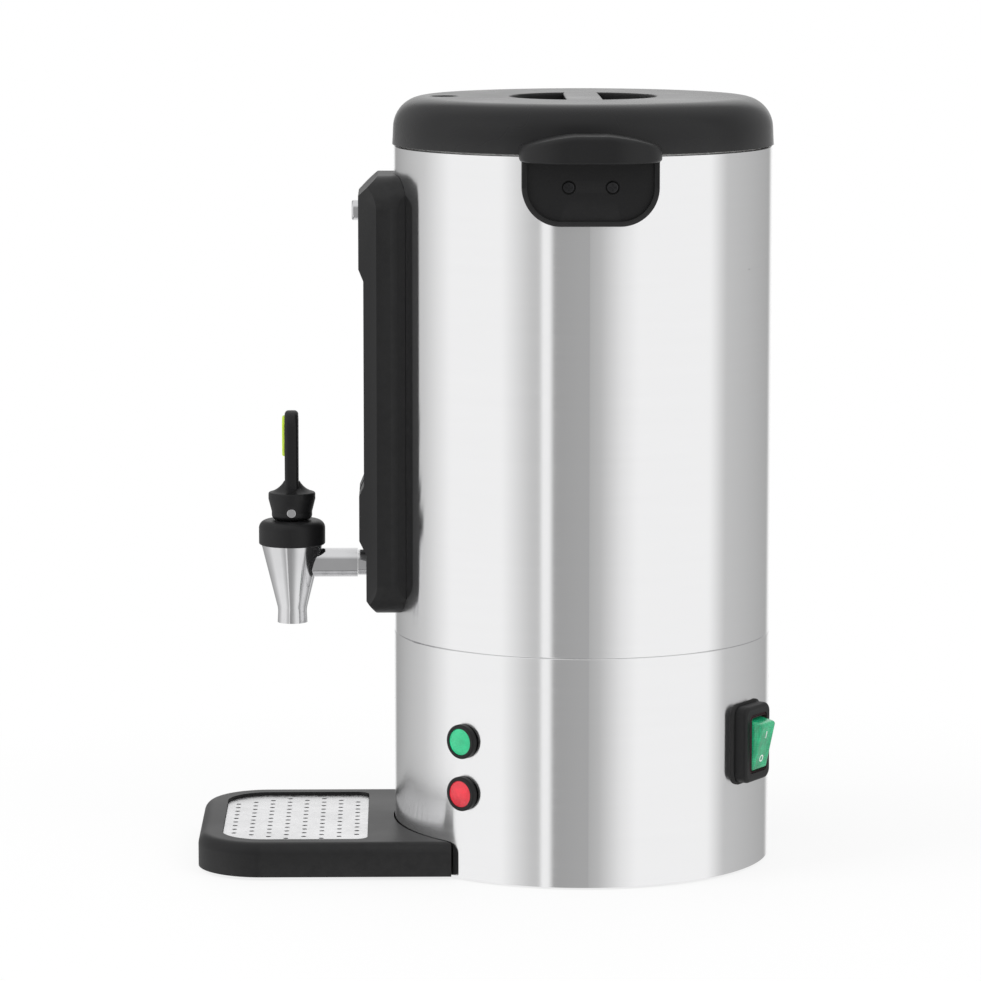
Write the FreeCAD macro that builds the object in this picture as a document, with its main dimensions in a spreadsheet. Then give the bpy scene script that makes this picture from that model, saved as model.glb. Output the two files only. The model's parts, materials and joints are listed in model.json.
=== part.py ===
import FreeCAD, Part

import math
import os

import Sketcher

# A coffee urn of about ten litres: a steel tank on a steel base, a domed lid, two side handles,
# a sight glass in a column at the front, a lever tap over a drip tray, and a percolator inside.
# Lengths are millimetres. The origin is on the tank's axis, at the surface the urn stands on.
# +Z is up, -Y is the front where the tap is, and the handles are at +X and -X.

SIZES = {
    "tank_radius": 116.0,
    "sheet_wall": 1.0,
    "floor_wall": 1.2,
    "seam_height": 140.5,
    "rim_height": 440.0,
    "rim_width": 3.0,
    "well_radius": 32.0,
    "well_depth": 10.0,
    "base_proud": 0.2,
    "base_lift": 1.2,
    "base_flange": 15.0,
    "edge_round": 0.7,
    "plate_height": 3.0,
    "plate_wall": 1.5,
    "seat_gap": 0.3,
    "slide_fit": 0.05,
    "screw_fit": 0.1,
    "foot_radius": 10.0,
    "foot_inset": 31.0,
    "stay_radius": 3.0,
    "stay_inset": 12.0,
    "screw_radius": 1.5,
    "screw_head_radius": 3.5,
    "screw_head_height": 1.4,
    "vent_hole_radius": 3.0,
    "vent_circle": 60.0,
    "spreader_wall": 3.0,
    "spreader_inner": 36.0,
    "spreader_inset": 20.0,
    "boil_ring_inset": 38.0,
    "warm_ring_radius": 50.0,
    "element_radius": 4.0,
    "element_pin_radius": 1.6,
    "element_pin_length": 22.0,
    "thermostat_radius": 12.0,
    "thermostat_height": 9.0,
    "reset_place": 36.0,
    "reset_radius": 3.2,
    "reset_length": 12.0,
    "reset_travel": 1.5,
    "cutout_width": 22.0,
    "cutout_height": 18.0,
    "block_length": 44.0,
    "block_width": 16.0,
    "block_height": 12.0,
    "block_place": 52.0,
    "gland_azimuth": 117.0,
    "gland_height": 34.0,
    "gland_radius": 8.0,
    "gland_bore": 4.2,
    "gland_reach": 16.0,
    "lamp_azimuth": -39.8,
    "lamp_low": 54.0,
    "lamp_high": 86.0,
    "bezel_radius": 10.5,
    "bezel_proud": 3.6,
    "lens_radius": 8.0,
    "lens_crown": 1.6,
    "lamp_barrel": 7.6,
    "lamp_length": 22.0,
    "switch_azimuth": 57.8,
    "switch_height": 80.0,
    "switch_tall": 47.0,
    "switch_wide": 32.0,
    "switch_proud": 8.0,
    "switch_wall": 4.0,
    "switch_corner": 6.0,
    "rocker_tall": 30.0,
    "rocker_wide": 18.0,
    "rocker_throw": 12.7,
    "rocker_reach": 15.6,
    "lid_proud": 0.8,
    "lid_gap": 1.0,
    "lid_taper": 1.4,
    "lid_rise": 30.0,
    "lid_wall": 2.5,
    "lid_shoulder": 19.0,
    "well_grip_radius": 45.0,
    "grip_cup_wall": 1.5,
    "grip_cup_depth": 19.0,
    "grip_bar_width": 22.0,
    "grip_bar_depth": 6.0,
    "steam_vent_radius": 8.7,
    "steam_vent_inset": 31.0,
    "steam_hole_radius": 0.9,
    "lid_boss_radius": 4.0,
    "lid_boss_circle": 78.0,
    "liner_inset": 4.0,
    "liner_drop": 6.0,
    "seal_width": 1.7,
    "seal_tall": 5.5,
    "stem_radius": 5.0,
    "stem_wall": 1.0,
    "stem_top_drop": 16.0,
    "bell_radius": 30.0,
    "bell_height": 18.0,
    "collar_radius": 9.0,
    "valve_radius": 8.5,
    "valve_wall": 1.2,
    "basket_radius": 75.0,
    "basket_drop": 135.0,
    "basket_tall": 90.0,
    "basket_wall": 0.8,
    "basket_hole_radius": 1.5,
    "handle_drop": 40.5,
    "ledge_drop": 2.4,
    "handle_rise": 14.0,
    "handle_half": 42.0,
    "handle_reach": 34.0,
    "handle_corner": 29.0,
    "handle_crown": 112.0,
    "handle_stand": 8.5,
    "handle_rim": 3.0,
    "handle_foot_corner": 23.0,
    "recess_stand": 5.5,
    "handle_screw_pitch": 25.8,
    "handle_screw_drop": 17.6,
    "handle_bore": 4.2,
    "bracket_wall": 2.0,
    "bracket_half": 30.0,
    "bracket_tall": 22.0,
    "column_half": 42.0,
    "column_drop": 27.9,
    "column_top_drop": 17.0,
    "split_stand": 2.0,
    "side_stand": 10.6,
    "front_stand": 21.6,
    "waist_stand": 18.6,
    "column_foot_stand": 17.3,
    "column_bevel": 11.0,
    "column_corner": 20.0,
    "column_wall": 3.0,
    "waist_rise": 52.1,
    "waist_drop": 80.6,
    "ramp_tall": 7.0,
    "bulge_rise": 17.7,
    "bulge_ramp": 8.1,
    "chamfer_top": 12.0,
    "chamfer_foot": 9.0,
    "slot_half": 5.0,
    "slot_rise": 26.1,
    "slot_drop": 56.0,
    "glass_radius": 6.0,
    "glass_wall": 1.2,
    "glass_seal_wall": 0.9,
    "glass_stand": 9.0,
    "glass_rise": 16.1,
    "glass_drop": 50.0,
    "fitting_half": 9.0,
    "cap_drop": 39.7,
    "cap_radius": 6.2,
    "cap_proud": 4.0,
    "tap_height": 181.9,
    "arm_radius": 9.0,
    "arm_bore": 5.5,
    "shank_radius": 8.0,
    "nut_radius": 12.5,
    "nut_wall": 6.0,
    "tap_stand": 63.4,
    "outlet_drop": 37.1,
    "outlet_radius": 9.3,
    "outlet_bore": 6.5,
    "spout_tall": 8.2,
    "cone_rise": 11.6,
    "cone_radius": 19.0,
    "throat_drop": 21.9,
    "chamber_radius": 12.0,
    "bonnet_radius": 20.5,
    "bonnet_tall": 15.2,
    "bonnet_round": 5.0,
    "rod_radius": 4.0,
    "rod_rise": 10.3,
    "pin_rise": 5.4,
    "pin_radius": 2.8,
    "pin_proud": 0.6,
    "boss_low_radius": 12.5,
    "boss_collar_radius": 14.5,
    "collar_rise": 17.2,
    "boss_round": 3.0,
    "blade_thick": 8.4,
    "blade_wide": 22.0,
    "blade_rise": 51.0,
    "inlay_tall": 24.7,
    "inlay_drop": 3.1,
    "inlay_wide": 15.0,
    "inlay_proud": 1.5,
    "cup_radius": 9.5,
    "cup_tall": 8.0,
    "spring_radius": 8.0,
    "spring_wire": 0.6,
    "spring_pitch": 4.0,
    "tray_reach": 120.8,
    "tray_half": 87.0,
    "tray_tall": 22.5,
    "tray_lift": 2.0,
    "tray_corner": 40.0,
    "tray_wrap": 34.0,
    "tray_gap": 0.8,
    "tray_edge": 7.0,
    "grid_inset": 15.0,
    "grid_stand": 17.0,
    "grid_wall": 1.0,
    "grid_drop": 2.0,
    "grid_corner": 26.0,
    "tray_well": 16.0,
    "tray_ledge": 4.0,
    "hole_radius": 1.6,
    "hole_pitch": 11.0,
    "tray_foot_radius": 6.0,
    "level_drop": 71.2,
    "level_azimuth": 63.0,
    "level_length": 22.0,
    "level_proud": 0.5,
}

doc = FreeCAD.newDocument("CoffeeUrn")
sheet = doc.addObject("Spreadsheet::Sheet", "Sizes")
for row, (alias, number) in enumerate(SIZES.items(), 1):
    sheet.set(f"A{row}", alias)
    sheet.set(f"B{row}", str(number))
    sheet.setAlias(f"B{row}", alias)
doc.recompute()


class Size:
    """A length or an angle: its number now, and the expression that the document keeps."""

    def __init__(self, value, text):
        self.value = float(value)
        self.text = text

    @staticmethod
    def of(thing):
        return thing if isinstance(thing, Size) else Size(thing, repr(float(thing)))

    def _with(self, sign, other, value):
        return Size(value, f"({self.text} {sign} {Size.of(other).text})")

    def __add__(self, other):
        return self._with("+", other, self.value + Size.of(other).value)

    def __sub__(self, other):
        return self._with("-", other, self.value - Size.of(other).value)

    def __mul__(self, other):
        return self._with("*", other, self.value * Size.of(other).value)

    def __truediv__(self, other):
        return self._with("/", other, self.value / Size.of(other).value)

    def __radd__(self, other):
        return Size.of(other) + self

    def __rsub__(self, other):
        return Size.of(other) - self

    def __rmul__(self, other):
        return Size.of(other) * self

    def __neg__(self):
        return Size.of(0) - self


class Sheet:
    """Gives each cell of the sheet by its alias."""

    def __getattr__(self, alias):
        return Size(SIZES[alias], f"<<Sizes>>.{alias}")


S = Sheet()

# Distances from the axis that follow the tank's radius.
FOOT_CIRCLE = S.tank_radius - S.foot_inset
STAY_CIRCLE = S.tank_radius - S.stay_inset
SPREADER_OUTER = S.tank_radius - S.spreader_inset
BOIL_RING_RADIUS = S.tank_radius - S.boil_ring_inset
LINER_RADIUS = S.tank_radius - S.liner_inset
STEAM_VENT_PLACE = S.tank_radius - S.steam_vent_inset
HANDLE_FACE = S.tank_radius + S.handle_stand
RECESS_FLOOR = S.tank_radius + S.recess_stand
COLUMN_SPLIT = S.tank_radius + S.split_stand
COLUMN_SIDE = S.tank_radius + S.side_stand
COLUMN_FRONT = S.tank_radius + S.front_stand
COLUMN_WAIST = S.tank_radius + S.waist_stand
COLUMN_FOOT = S.tank_radius + S.column_foot_stand
GLASS_PLACE = S.tank_radius + S.glass_stand
TAP_PLACE = S.tank_radius + S.tap_stand
TRAY_FRONT = S.tank_radius + S.tray_reach
TRAY_BACK = S.tank_radius - S.tray_wrap
GRID_BACK = S.tank_radius + S.grid_stand

# Heights that follow the tank's rim.
LID_TOP = S.rim_height + S.lid_rise
HANDLE_LOW = S.rim_height - S.handle_drop
HANDLE_LEDGE = S.rim_height - S.ledge_drop
HANDLE_TOP = S.rim_height + S.handle_rise
HANDLE_SCREW_HEIGHT = S.rim_height - S.handle_screw_drop
COLUMN_TOP = S.rim_height - S.column_top_drop
WAIST_HIGH = S.rim_height - S.waist_drop
SLOT_HIGH = S.rim_height - S.slot_drop
GLASS_HIGH = S.rim_height - S.glass_drop
CAP_HEIGHT = S.rim_height - S.cap_drop
STEM_TOP = S.rim_height - S.stem_top_drop
BASKET_FLOOR = S.rim_height - S.basket_drop
LEVEL_HEIGHT = S.rim_height - S.level_drop


def sine(angle):
    angle = Size.of(angle)
    return Size(math.sin(math.radians(angle.value)), f"sin({angle.text})")


def cosine(angle):
    angle = Size.of(angle)
    return Size(math.cos(math.radians(angle.value)), f"cos({angle.text})")


def bind(thing, name, size):
    thing.setExpression(name, Size.of(size).text)


def place(thing, at=(0, 0, 0), turns=()):
    """Sets a placement: a point, and turns of (axis, angle), the last one made first."""
    point = "; ".join(Size.of(part).text for part in at)
    spin = "create(<<rotation>>; create(<<vector>>; 0; 0; 1); 0)"
    for axis, angle in turns:
        line = "; ".join(str(part) for part in axis)
        spin += f" * create(<<rotation>>; create(<<vector>>; {line}); {Size.of(angle).text})"
    thing.setExpression("Placement", f"create(<<placement>>; create(<<vector>>; {point}); {spin})")
    return thing


AXIS_X = (1, 0, 0)
AXIS_Y = (0, 1, 0)
AXIS_Z = (0, 0, 1)
TO_FRONT = [(AXIS_X, 90)]


def outward(azimuth):
    """Turns that lay a piece's own Z along the horizontal direction at an azimuth."""
    return [(AXIS_Z, azimuth), (AXIS_Y, 90)]


# Pieces from primitives and booleans


def named(kind, label):
    thing = doc.addObject(kind, label)
    thing.Label = label
    return thing


def rod(label, radius, length, at=(0, 0, 0), turns=()):
    thing = named("Part::Cylinder", label)
    bind(thing, "Radius", radius)
    bind(thing, "Height", length)
    return place(thing, at, turns)


def box(label, low, high, azimuth=0):
    """A box between two corners, turned about Z by the azimuth."""
    thing = named("Part::Box", label)
    for name, start, end in zip(("Length", "Width", "Height"), low, high):
        bind(thing, name, Size.of(end) - start)
    x, y, z = (Size.of(part) for part in low)
    turned_x = x * cosine(azimuth) - y * sine(azimuth)
    turned_y = x * sine(azimuth) + y * cosine(azimuth)
    return place(thing, (turned_x, turned_y, z), [(AXIS_Z, azimuth)])


def cut(label, base, tools):
    """The base without the tools. Raises where they take nothing away."""
    tool = tools[0] if len(tools) == 1 else group(label + "_tools", tools)
    thing = named("Part::Cut", label)
    thing.Base = base
    thing.Tool = tool
    doc.recompute()
    if thing.Shape.Volume > base.Shape.Volume - 1e-6:
        raise RuntimeError(f"{label}: the cut takes nothing away")
    return thing


def fuse(label, pieces):
    thing = named("Part::MultiFuse", label)
    thing.Shapes = pieces
    return thing


def common(label, pieces):
    thing = named("Part::MultiCommon", label)
    thing.Shapes = pieces
    return thing


def group(label, pieces):
    """Separate solids under one name, such as a set of screws."""
    thing = named("Part::Compound", label)
    thing.Links = pieces
    return thing


# Bodies from sketches


def sketch_on(body, plane, offset=0):
    sketch = body.newObject("Sketcher::SketchObject", body.Label + "_sketch")
    origin = next(f for f in body.Origin.OriginFeatures if f.Role == plane + "_Plane")
    sketch.AttachmentSupport = [(origin, "")]
    sketch.MapMode = "FlatFace"
    bind(sketch, "AttachmentOffset.Base.z", offset)
    return sketch


def fix_point(sketch, geometry, end, point):
    for kind, place_size in zip(("DistanceX", "DistanceY"), point):
        size = Size.of(place_size)
        index = sketch.addConstraint(Sketcher.Constraint(kind, -1, 1, geometry, end, size.value))
        sketch.setExpression(f"Constraints[{index}]", size.text)


def fix_radius(sketch, geometry, radius):
    size = Size.of(radius)
    index = sketch.addConstraint(Sketcher.Constraint("Radius", geometry, size.value))
    sketch.setExpression(f"Constraints[{index}]", size.text)


def draw_outline(sketch, points, arcs=None):
    """A closed outline. arcs gives a radius to the stretch after a point, positive to the left."""
    arcs = arcs or {}
    spots = [FreeCAD.Vector(Size.of(x).value, Size.of(y).value, 0) for x, y in points]
    ends = []
    for index, start in enumerate(spots):
        finish = spots[(index + 1) % len(spots)]
        if index not in arcs:
            geometry = sketch.addGeometry(Part.LineSegment(start, finish))
            ends.append((geometry, 1, 2))
            continue
        radius = Size.of(arcs[index]).value
        half = (finish - start) * 0.5
        side = FreeCAD.Vector(-half.y, half.x, 0).normalize()
        rise = math.sqrt(max(radius * radius - half.Length**2, 0.0))
        centre = start + half + side * math.copysign(rise, radius)
        angles = [math.atan2(p.y - centre.y, p.x - centre.x) for p in (start, finish)]
        first, last = angles if radius > 0 else reversed(angles)
        circle = Part.Circle(centre, FreeCAD.Vector(0, 0, 1), abs(radius))
        geometry = sketch.addGeometry(Part.ArcOfCircle(circle, first, last))
        ends.append((geometry, 1, 2) if radius > 0 else (geometry, 2, 1))
        size = Size.of(arcs[index])
        fix_radius(sketch, geometry, size if radius > 0 else -size)
    for index, (geometry, start_end, finish_end) in enumerate(ends):
        after, after_end, _ = ends[(index + 1) % len(ends)]
        sketch.addConstraint(Sketcher.Constraint("Coincident", geometry, finish_end, after, after_end))
        fix_point(sketch, geometry, start_end, points[index])


def draw_circle(sketch, radius, centre=(0, 0)):
    middle = FreeCAD.Vector(Size.of(centre[0]).value, Size.of(centre[1]).value, 0)
    circle = Part.Circle(middle, FreeCAD.Vector(0, 0, 1), Size.of(radius).value)
    geometry = sketch.addGeometry(circle)
    fix_point(sketch, geometry, 3, centre)
    fix_radius(sketch, geometry, radius)


def rounded_box(low, high, low_round, high_round):
    """Points and arcs of a box with rounded corners, those at its low side and its high side."""
    (x0, y0), (x1, y1) = low, high
    points = [(x0 + low_round, y0), (x1 - low_round, y0), (x1, y0 + low_round), (x1, y1 - high_round)]
    points += [(x1 - high_round, y1), (x0 + high_round, y1), (x0, y1 - high_round), (x0, y0 + low_round)]
    return points, {1: low_round, 3: high_round, 5: high_round, 7: low_round}


def new_body(label):
    return named("PartDesign::Body", label)


def pad(body, plane, length, offset=0, outline=None, circle=None, centre=(0, 0)):
    """Adds the drawn shape along the plane's normal, from an offset, to a length."""
    return _extrude(body, "PartDesign::Pad", plane, length, offset, outline, circle, centre)


def pocket(body, plane, length, offset=0, outline=None, circle=None, centre=(0, 0)):
    """Cuts the drawn shape along the plane's normal. Raises where nothing is cut."""
    doc.recompute()
    before = body.Shape.Volume
    feature = _extrude(body, "PartDesign::Pocket", plane, length, offset, outline, circle, centre)
    feature.Reversed = True
    doc.recompute()
    if body.Shape.Volume > before - 1e-6:
        raise RuntimeError(f"{body.Label}: a pocket cuts nothing")
    return feature


def _extrude(body, kind, plane, length, offset, outline, circle, centre):
    sketch = sketch_on(body, plane, offset)
    if circle is not None:
        draw_circle(sketch, circle, centre)
    if outline is not None:
        draw_outline(sketch, *outline)
    feature = body.newObject(kind, body.Label + "_feature")
    feature.Profile = sketch
    bind(feature, "Length", length)
    return feature


def turned(label, outline, arcs=None):
    """A body turned about Z from an outline of (radius, height) points."""
    body = new_body(label)
    sketch = sketch_on(body, "XZ")
    draw_outline(sketch, outline, arcs)
    feature = body.newObject("PartDesign::Revolution", label + "_turn")
    feature.Profile = sketch
    feature.ReferenceAxis = (sketch, ["V_Axis"])
    feature.Angle = 360
    return body


def ring(label, inner, outer, low, high):
    return turned(label, [(inner, low), (outer, low), (outer, high), (inner, high)])


def round_edges(body, radius, chosen):
    """Rounds the edges of a body that a test chooses."""
    doc.recompute()
    base = body.Tip
    names = [f"Edge{n}" for n, edge in enumerate(base.Shape.Edges, 1) if chosen(edge)]
    if not names:
        raise RuntimeError(f"{body.Label}: no edge to round")
    feature = body.newObject("PartDesign::Fillet", body.Label + "_round")
    feature.Base = (base, names)
    bind(feature, "Radius", radius)
    doc.recompute()
    if "Invalid" in feature.State or feature.Shape.isNull():
        raise RuntimeError(f"{body.Label}: {names} can't be rounded")
    return feature


def circle_at(radius, height):
    """Chooses a circular edge about Z by its radius and height."""
    radius, height = Size.of(radius).value, Size.of(height).value

    def chosen(edge):
        curve = edge.Curve
        if not isinstance(curve, Part.Circle):
            return False
        return abs(curve.Radius - radius) < 1e-4 and abs(curve.Center.z - height) < 1e-4

    return chosen


def around(count, circle, start=0):
    """Places evenly spread on a circle about Z, as (x, y) pairs."""
    for index in range(count):
        angle = start + index * 360.0 / count
        yield circle * cosine(angle), circle * sine(angle)


def hole_circles(label, radius, circles, low, high):
    """Cylinders that make rings of holes: circles is a list of (count, circle radius)."""
    pins = []
    for count, circle in circles:
        for x, y in around(count, circle):
            pins.append(rod(f"{label}_{len(pins)}", radius, high - low, (x, y, low)))
    return pins


# The base: a steel drum that holds the heaters and the controls

BASE_RADIUS = S.tank_radius + S.base_proud
BASE_INNER = BASE_RADIUS - S.sheet_wall
WELL_LOW = S.seam_height - S.well_depth
PLATE_TOP = S.plate_height + S.plate_wall


def make_base_shell():
    flange_low = S.seam_height - S.sheet_wall
    drum = turned("base_drum", [
        (BASE_RADIUS, S.base_lift), (BASE_RADIUS, S.seam_height),
        (BASE_INNER - S.base_flange, S.seam_height), (BASE_INNER - S.base_flange, flange_low),
        (BASE_INNER, flange_low), (BASE_INNER, S.base_lift)])
    round_edges(drum, S.edge_round, circle_at(BASE_RADIUS, S.seam_height))
    tools = []
    for name, height in (("red", S.lamp_low), ("green", S.lamp_high)):
        tools.append(rod(f"lamp_hole_{name}", S.lamp_barrel + S.screw_fit, S.tank_radius * 1.2,
                         (0, 0, height), outward(S.lamp_azimuth)))
    tools.append(rod("gland_hole", S.gland_radius + S.screw_fit, S.tank_radius * 1.2,
                     (0, 0, S.gland_height), outward(S.gland_azimuth)))
    tools.append(box("switch_hole", (BASE_RADIUS * 0.6, -(SWITCH_BODY_WIDE / 2), SWITCH_BODY_LOW),
                     (BASE_RADIUS * 1.1, SWITCH_BODY_WIDE / 2, SWITCH_BODY_HIGH), S.switch_azimuth))
    return cut("base_shell", drum, tools)


def make_base_plate():
    disc = rod("base_disc", BASE_INNER - S.seat_gap, S.plate_wall, (0, 0, S.plate_height))
    low, high = S.plate_height - 1, PLATE_TOP + 1
    tools = hole_circles("plate_vent", S.vent_hole_radius, [(12, S.vent_circle)], low, high)
    tools += hole_circles("plate_screw_hole", S.screw_radius + S.screw_fit, [(4, STAY_CIRCLE)], low, high)
    tools.append(rod("reset_hole", S.reset_radius + S.seat_gap, high - low,
                     (-S.reset_place, 0, low)))
    return cut("base_plate", disc, tools)


def make_feet():
    feet = []
    for index, (x, y) in enumerate(around(4, FOOT_CIRCLE, 45)):
        foot = turned(f"foot_{index}", [
            (0, 0), (S.foot_radius, 0), (S.foot_radius, S.plate_height), (0, S.plate_height)])
        round_edges(foot, S.edge_round, circle_at(S.foot_radius, 0))
        feet.append(place(foot, (x, y, 0)))
    return group("feet", feet)


def make_stays():
    """Posts between the base plate and the flange under the tank, bored for the plate's screws."""
    posts = []
    for index, (x, y) in enumerate(around(4, STAY_CIRCLE)):
        post = ring(f"stay_{index}", S.screw_radius + S.screw_fit, S.stay_radius, PLATE_TOP,
                    S.seam_height - S.sheet_wall)
        posts.append(place(post, (x, y, 0)))
    return group("stay_posts", posts)


def screw(label, head_radius, head_height, shank_radius, shank_length, cross_width=0.9):
    """A pan-head screw along Z: the head lies below zero, the shank above. It has a cross slot."""
    blank = turned(label + "_blank", [
        (0, -head_height), (head_radius, -head_height), (head_radius, 0), (shank_radius, 0),
        (shank_radius, shank_length), (0, shank_length)])
    round_edges(blank, head_height * 0.5, circle_at(head_radius, -head_height))
    arm = head_radius * 0.62
    half = cross_width / 2
    slot_low, slot_high = -head_height - 1, -head_height * 0.45
    slots = [box(label + "_slot_x", (-arm, -half, slot_low), (arm, half, slot_high)),
             box(label + "_slot_y", (-half, -arm, slot_low), (half, arm, slot_high))]
    return cut(label, blank, slots)


def make_base_screws():
    screws = []
    for index, (x, y) in enumerate(around(4, STAY_CIRCLE)):
        piece = screw(f"base_screw_{index}", S.screw_head_radius, S.screw_head_height,
                      S.screw_radius, S.plate_wall + 10)
        screws.append(place(piece, (x, y, S.plate_height)))
    return group("base_screws", screws)


def make_heat_spreader():
    return ring("heat_spreader", S.spreader_inner, SPREADER_OUTER,
                S.seam_height - S.spreader_wall, S.seam_height)


def make_element(label, ring_radius, azimuth):
    """A sheathed ring heater pressed up against the spreader, with two connection pins."""
    height = S.seam_height - S.spreader_wall - S.element_radius
    sheath = named("Part::Torus", label + "_sheath")
    bind(sheath, "Radius1", ring_radius)
    bind(sheath, "Radius2", S.element_radius)
    place(sheath, (0, 0, height))
    pins = []
    for index, turn in enumerate((azimuth - 8, azimuth + 8)):
        pins.append(rod(f"{label}_pin_{index}", S.element_pin_radius, S.element_pin_length,
                        (ring_radius * cosine(turn), ring_radius * sine(turn),
                         height - S.element_pin_length)))
    return fuse(label, [sheath] + pins)


def make_thermostat():
    low = WELL_LOW - S.thermostat_height
    case = rod("thermostat_case", S.thermostat_radius, S.thermostat_height, (0, 0, low))
    tabs = [box(f"thermostat_tab_{n}", (x - 3, -0.4, low - 9), (x + 3, 0.4, low))
            for n, x in enumerate((-6, 6))]
    return fuse("thermostat", [case] + tabs)


def make_cutout():
    """The boil-dry cut-out, bored from below for its reset button."""
    half = S.cutout_width / 2
    case = box("cutout_case", (-S.reset_place - half, -half, PLATE_TOP),
               (-S.reset_place + half, half, PLATE_TOP + S.cutout_height))
    bore = rod("cutout_bore", S.reset_radius + S.slide_fit,
               RESET_LOW + S.reset_length + S.reset_travel + 1 - PLATE_TOP + 1,
               (-S.reset_place, 0, PLATE_TOP - 1))
    return cut("thermal_cutout", case, [bore])


RESET_LOW = S.plate_height - 0.6


def make_reset_button():
    button = turned("reset_button", [
        (0, 0), (S.reset_radius, 0), (S.reset_radius, S.reset_length), (0, S.reset_length)])
    round_edges(button, S.edge_round, circle_at(S.reset_radius, 0))
    return place(button, (-S.reset_place, 0, RESET_LOW))


def make_terminal_block():
    half = S.block_length / 2
    block = box("terminal_case", (-half, S.block_place, PLATE_TOP),
                (half, S.block_place + S.block_width, PLATE_TOP + S.block_height))
    wells = [rod(f"terminal_well_{n}", 2.6, S.block_height,
                 (S.block_length * part, S.block_place + S.block_width / 2,
                  PLATE_TOP + S.block_height - 6)) for n, part in enumerate((-0.33, 0.0, 0.33))]
    return cut("terminal_block", block, wells)


def make_gland():
    """The inlet where a supply lead would go in: a collar outside, a thread through the wall."""
    collar = S.gland_radius + 4
    wall = BASE_INNER
    gland = turned("cord_gland", [
        (S.gland_bore, wall - 10), (S.gland_radius, wall - 10), (S.gland_radius, BASE_RADIUS + 0.6),
        (collar, BASE_RADIUS + 0.6), (collar, BASE_RADIUS + 4), (S.gland_radius, BASE_RADIUS + 6),
        (S.gland_radius - 1, BASE_RADIUS + S.gland_reach), (S.gland_bore, BASE_RADIUS + S.gland_reach)])
    round_edges(gland, S.edge_round, circle_at(S.gland_radius - 1, BASE_RADIUS + S.gland_reach))
    return place(gland, (0, 0, S.gland_height), outward(S.gland_azimuth))


def make_gland_nut():
    nut = ring("gland_nut", S.gland_radius + S.screw_fit, S.gland_radius + 4,
               BASE_INNER - 5.5, BASE_INNER - 1)
    return place(nut, (0, 0, S.gland_height), outward(S.gland_azimuth))


# The pilot lamps and the rocker switch

LAMP_FACE = BASE_RADIUS + 0.5


def make_bezel(name, height):
    """A round black surround, with a barrel through the wall and a lip round the lens."""
    lens_seat = S.lens_radius + S.screw_fit
    front = LAMP_FACE + S.bezel_proud
    bezel = turned(f"lamp_bezel_{name}", [
        (S.lamp_barrel - 1.2, BASE_RADIUS - S.lamp_length), (S.lamp_barrel, BASE_RADIUS - S.lamp_length),
        (S.lamp_barrel, LAMP_FACE), (S.bezel_radius, LAMP_FACE), (S.bezel_radius, front),
        (lens_seat, front), (lens_seat, front - 2), (S.lamp_barrel - 1.2, front - 2)])
    round_edges(bezel, S.edge_round * 1.6, circle_at(S.bezel_radius, front))
    return place(bezel, (0, 0, height), outward(S.lamp_azimuth))


def make_lens(name, height):
    """A domed lens that sits in the bezel: its dome is an arc through the crown."""
    front = LAMP_FACE + S.bezel_proud
    low = front - 2
    dome = (S.lens_radius * S.lens_radius + S.lens_crown * S.lens_crown) / (2 * S.lens_crown)
    lens = turned(f"lamp_lens_{name}", [
        (0, low), (S.lens_radius, low), (S.lens_radius, front - 0.4), (0, front - 0.4 + S.lens_crown)],
        {2: dome})
    return place(lens, (0, 0, height), outward(S.lamp_azimuth))


def make_lamp_nuts():
    nuts = []
    for name, height in (("red", S.lamp_low), ("green", S.lamp_high)):
        nut = ring(f"lamp_nut_{name}", S.lamp_barrel + S.screw_fit, S.lamp_barrel + 4,
                   BASE_INNER - 5, BASE_INNER - 1)
        nuts.append(place(nut, (0, 0, height), outward(S.lamp_azimuth)))
    return group("lamp_nuts", nuts)


SWITCH_BODY_WIDE = S.switch_wide - 8
SWITCH_BODY_TALL = S.switch_tall - 10
SWITCH_BODY_LOW = S.switch_height - SWITCH_BODY_TALL / 2
SWITCH_BODY_HIGH = S.switch_height + SWITCH_BODY_TALL / 2
# The flat back of the switch stands off the round wall just enough to clear its crown.
SWITCH_BACK = BASE_RADIUS + 0.4
SWITCH_FRONT = SWITCH_BACK + S.switch_proud
WINDOW_TALL = S.switch_tall - 2 * S.switch_wall - 3
WINDOW_WIDE = S.switch_wide - 2 * S.switch_wall - 2


def switch_outline(wide, tall, corner):
    half = wide / 2
    return rounded_box((-half, S.switch_height - tall / 2), (half, S.switch_height + tall / 2),
                       corner, corner)


def make_switch_housing():
    """A raised frame outside the wall and a box body that passes through it."""
    body = new_body("switch_housing")
    pad(body, "YZ", S.switch_proud, SWITCH_BACK,
        switch_outline(S.switch_wide, S.switch_tall, S.switch_corner))
    doc.recompute()
    front = SWITCH_FRONT.value
    round_edges(body, 2.4, lambda edge: all(abs(v.X - front) < 1e-4 for v in edge.Vertexes))
    pad(body, "YZ", 24, SWITCH_BACK - 24, switch_outline(
        SWITCH_BODY_WIDE - 0.4, SWITCH_BODY_TALL - 0.4, Size.of(1.5)))
    pocket(body, "YZ", S.switch_proud + 12, SWITCH_FRONT - S.switch_proud - 10,
           switch_outline(WINDOW_WIDE - 3, WINDOW_TALL - 3, Size.of(2.5)))
    pocket(body, "YZ", 5, SWITCH_FRONT - 3.2, switch_outline(WINDOW_WIDE, WINDOW_TALL, Size.of(3)))
    return place(body, (0, 0, 0), [(AXIS_Z, S.switch_azimuth)])


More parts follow.
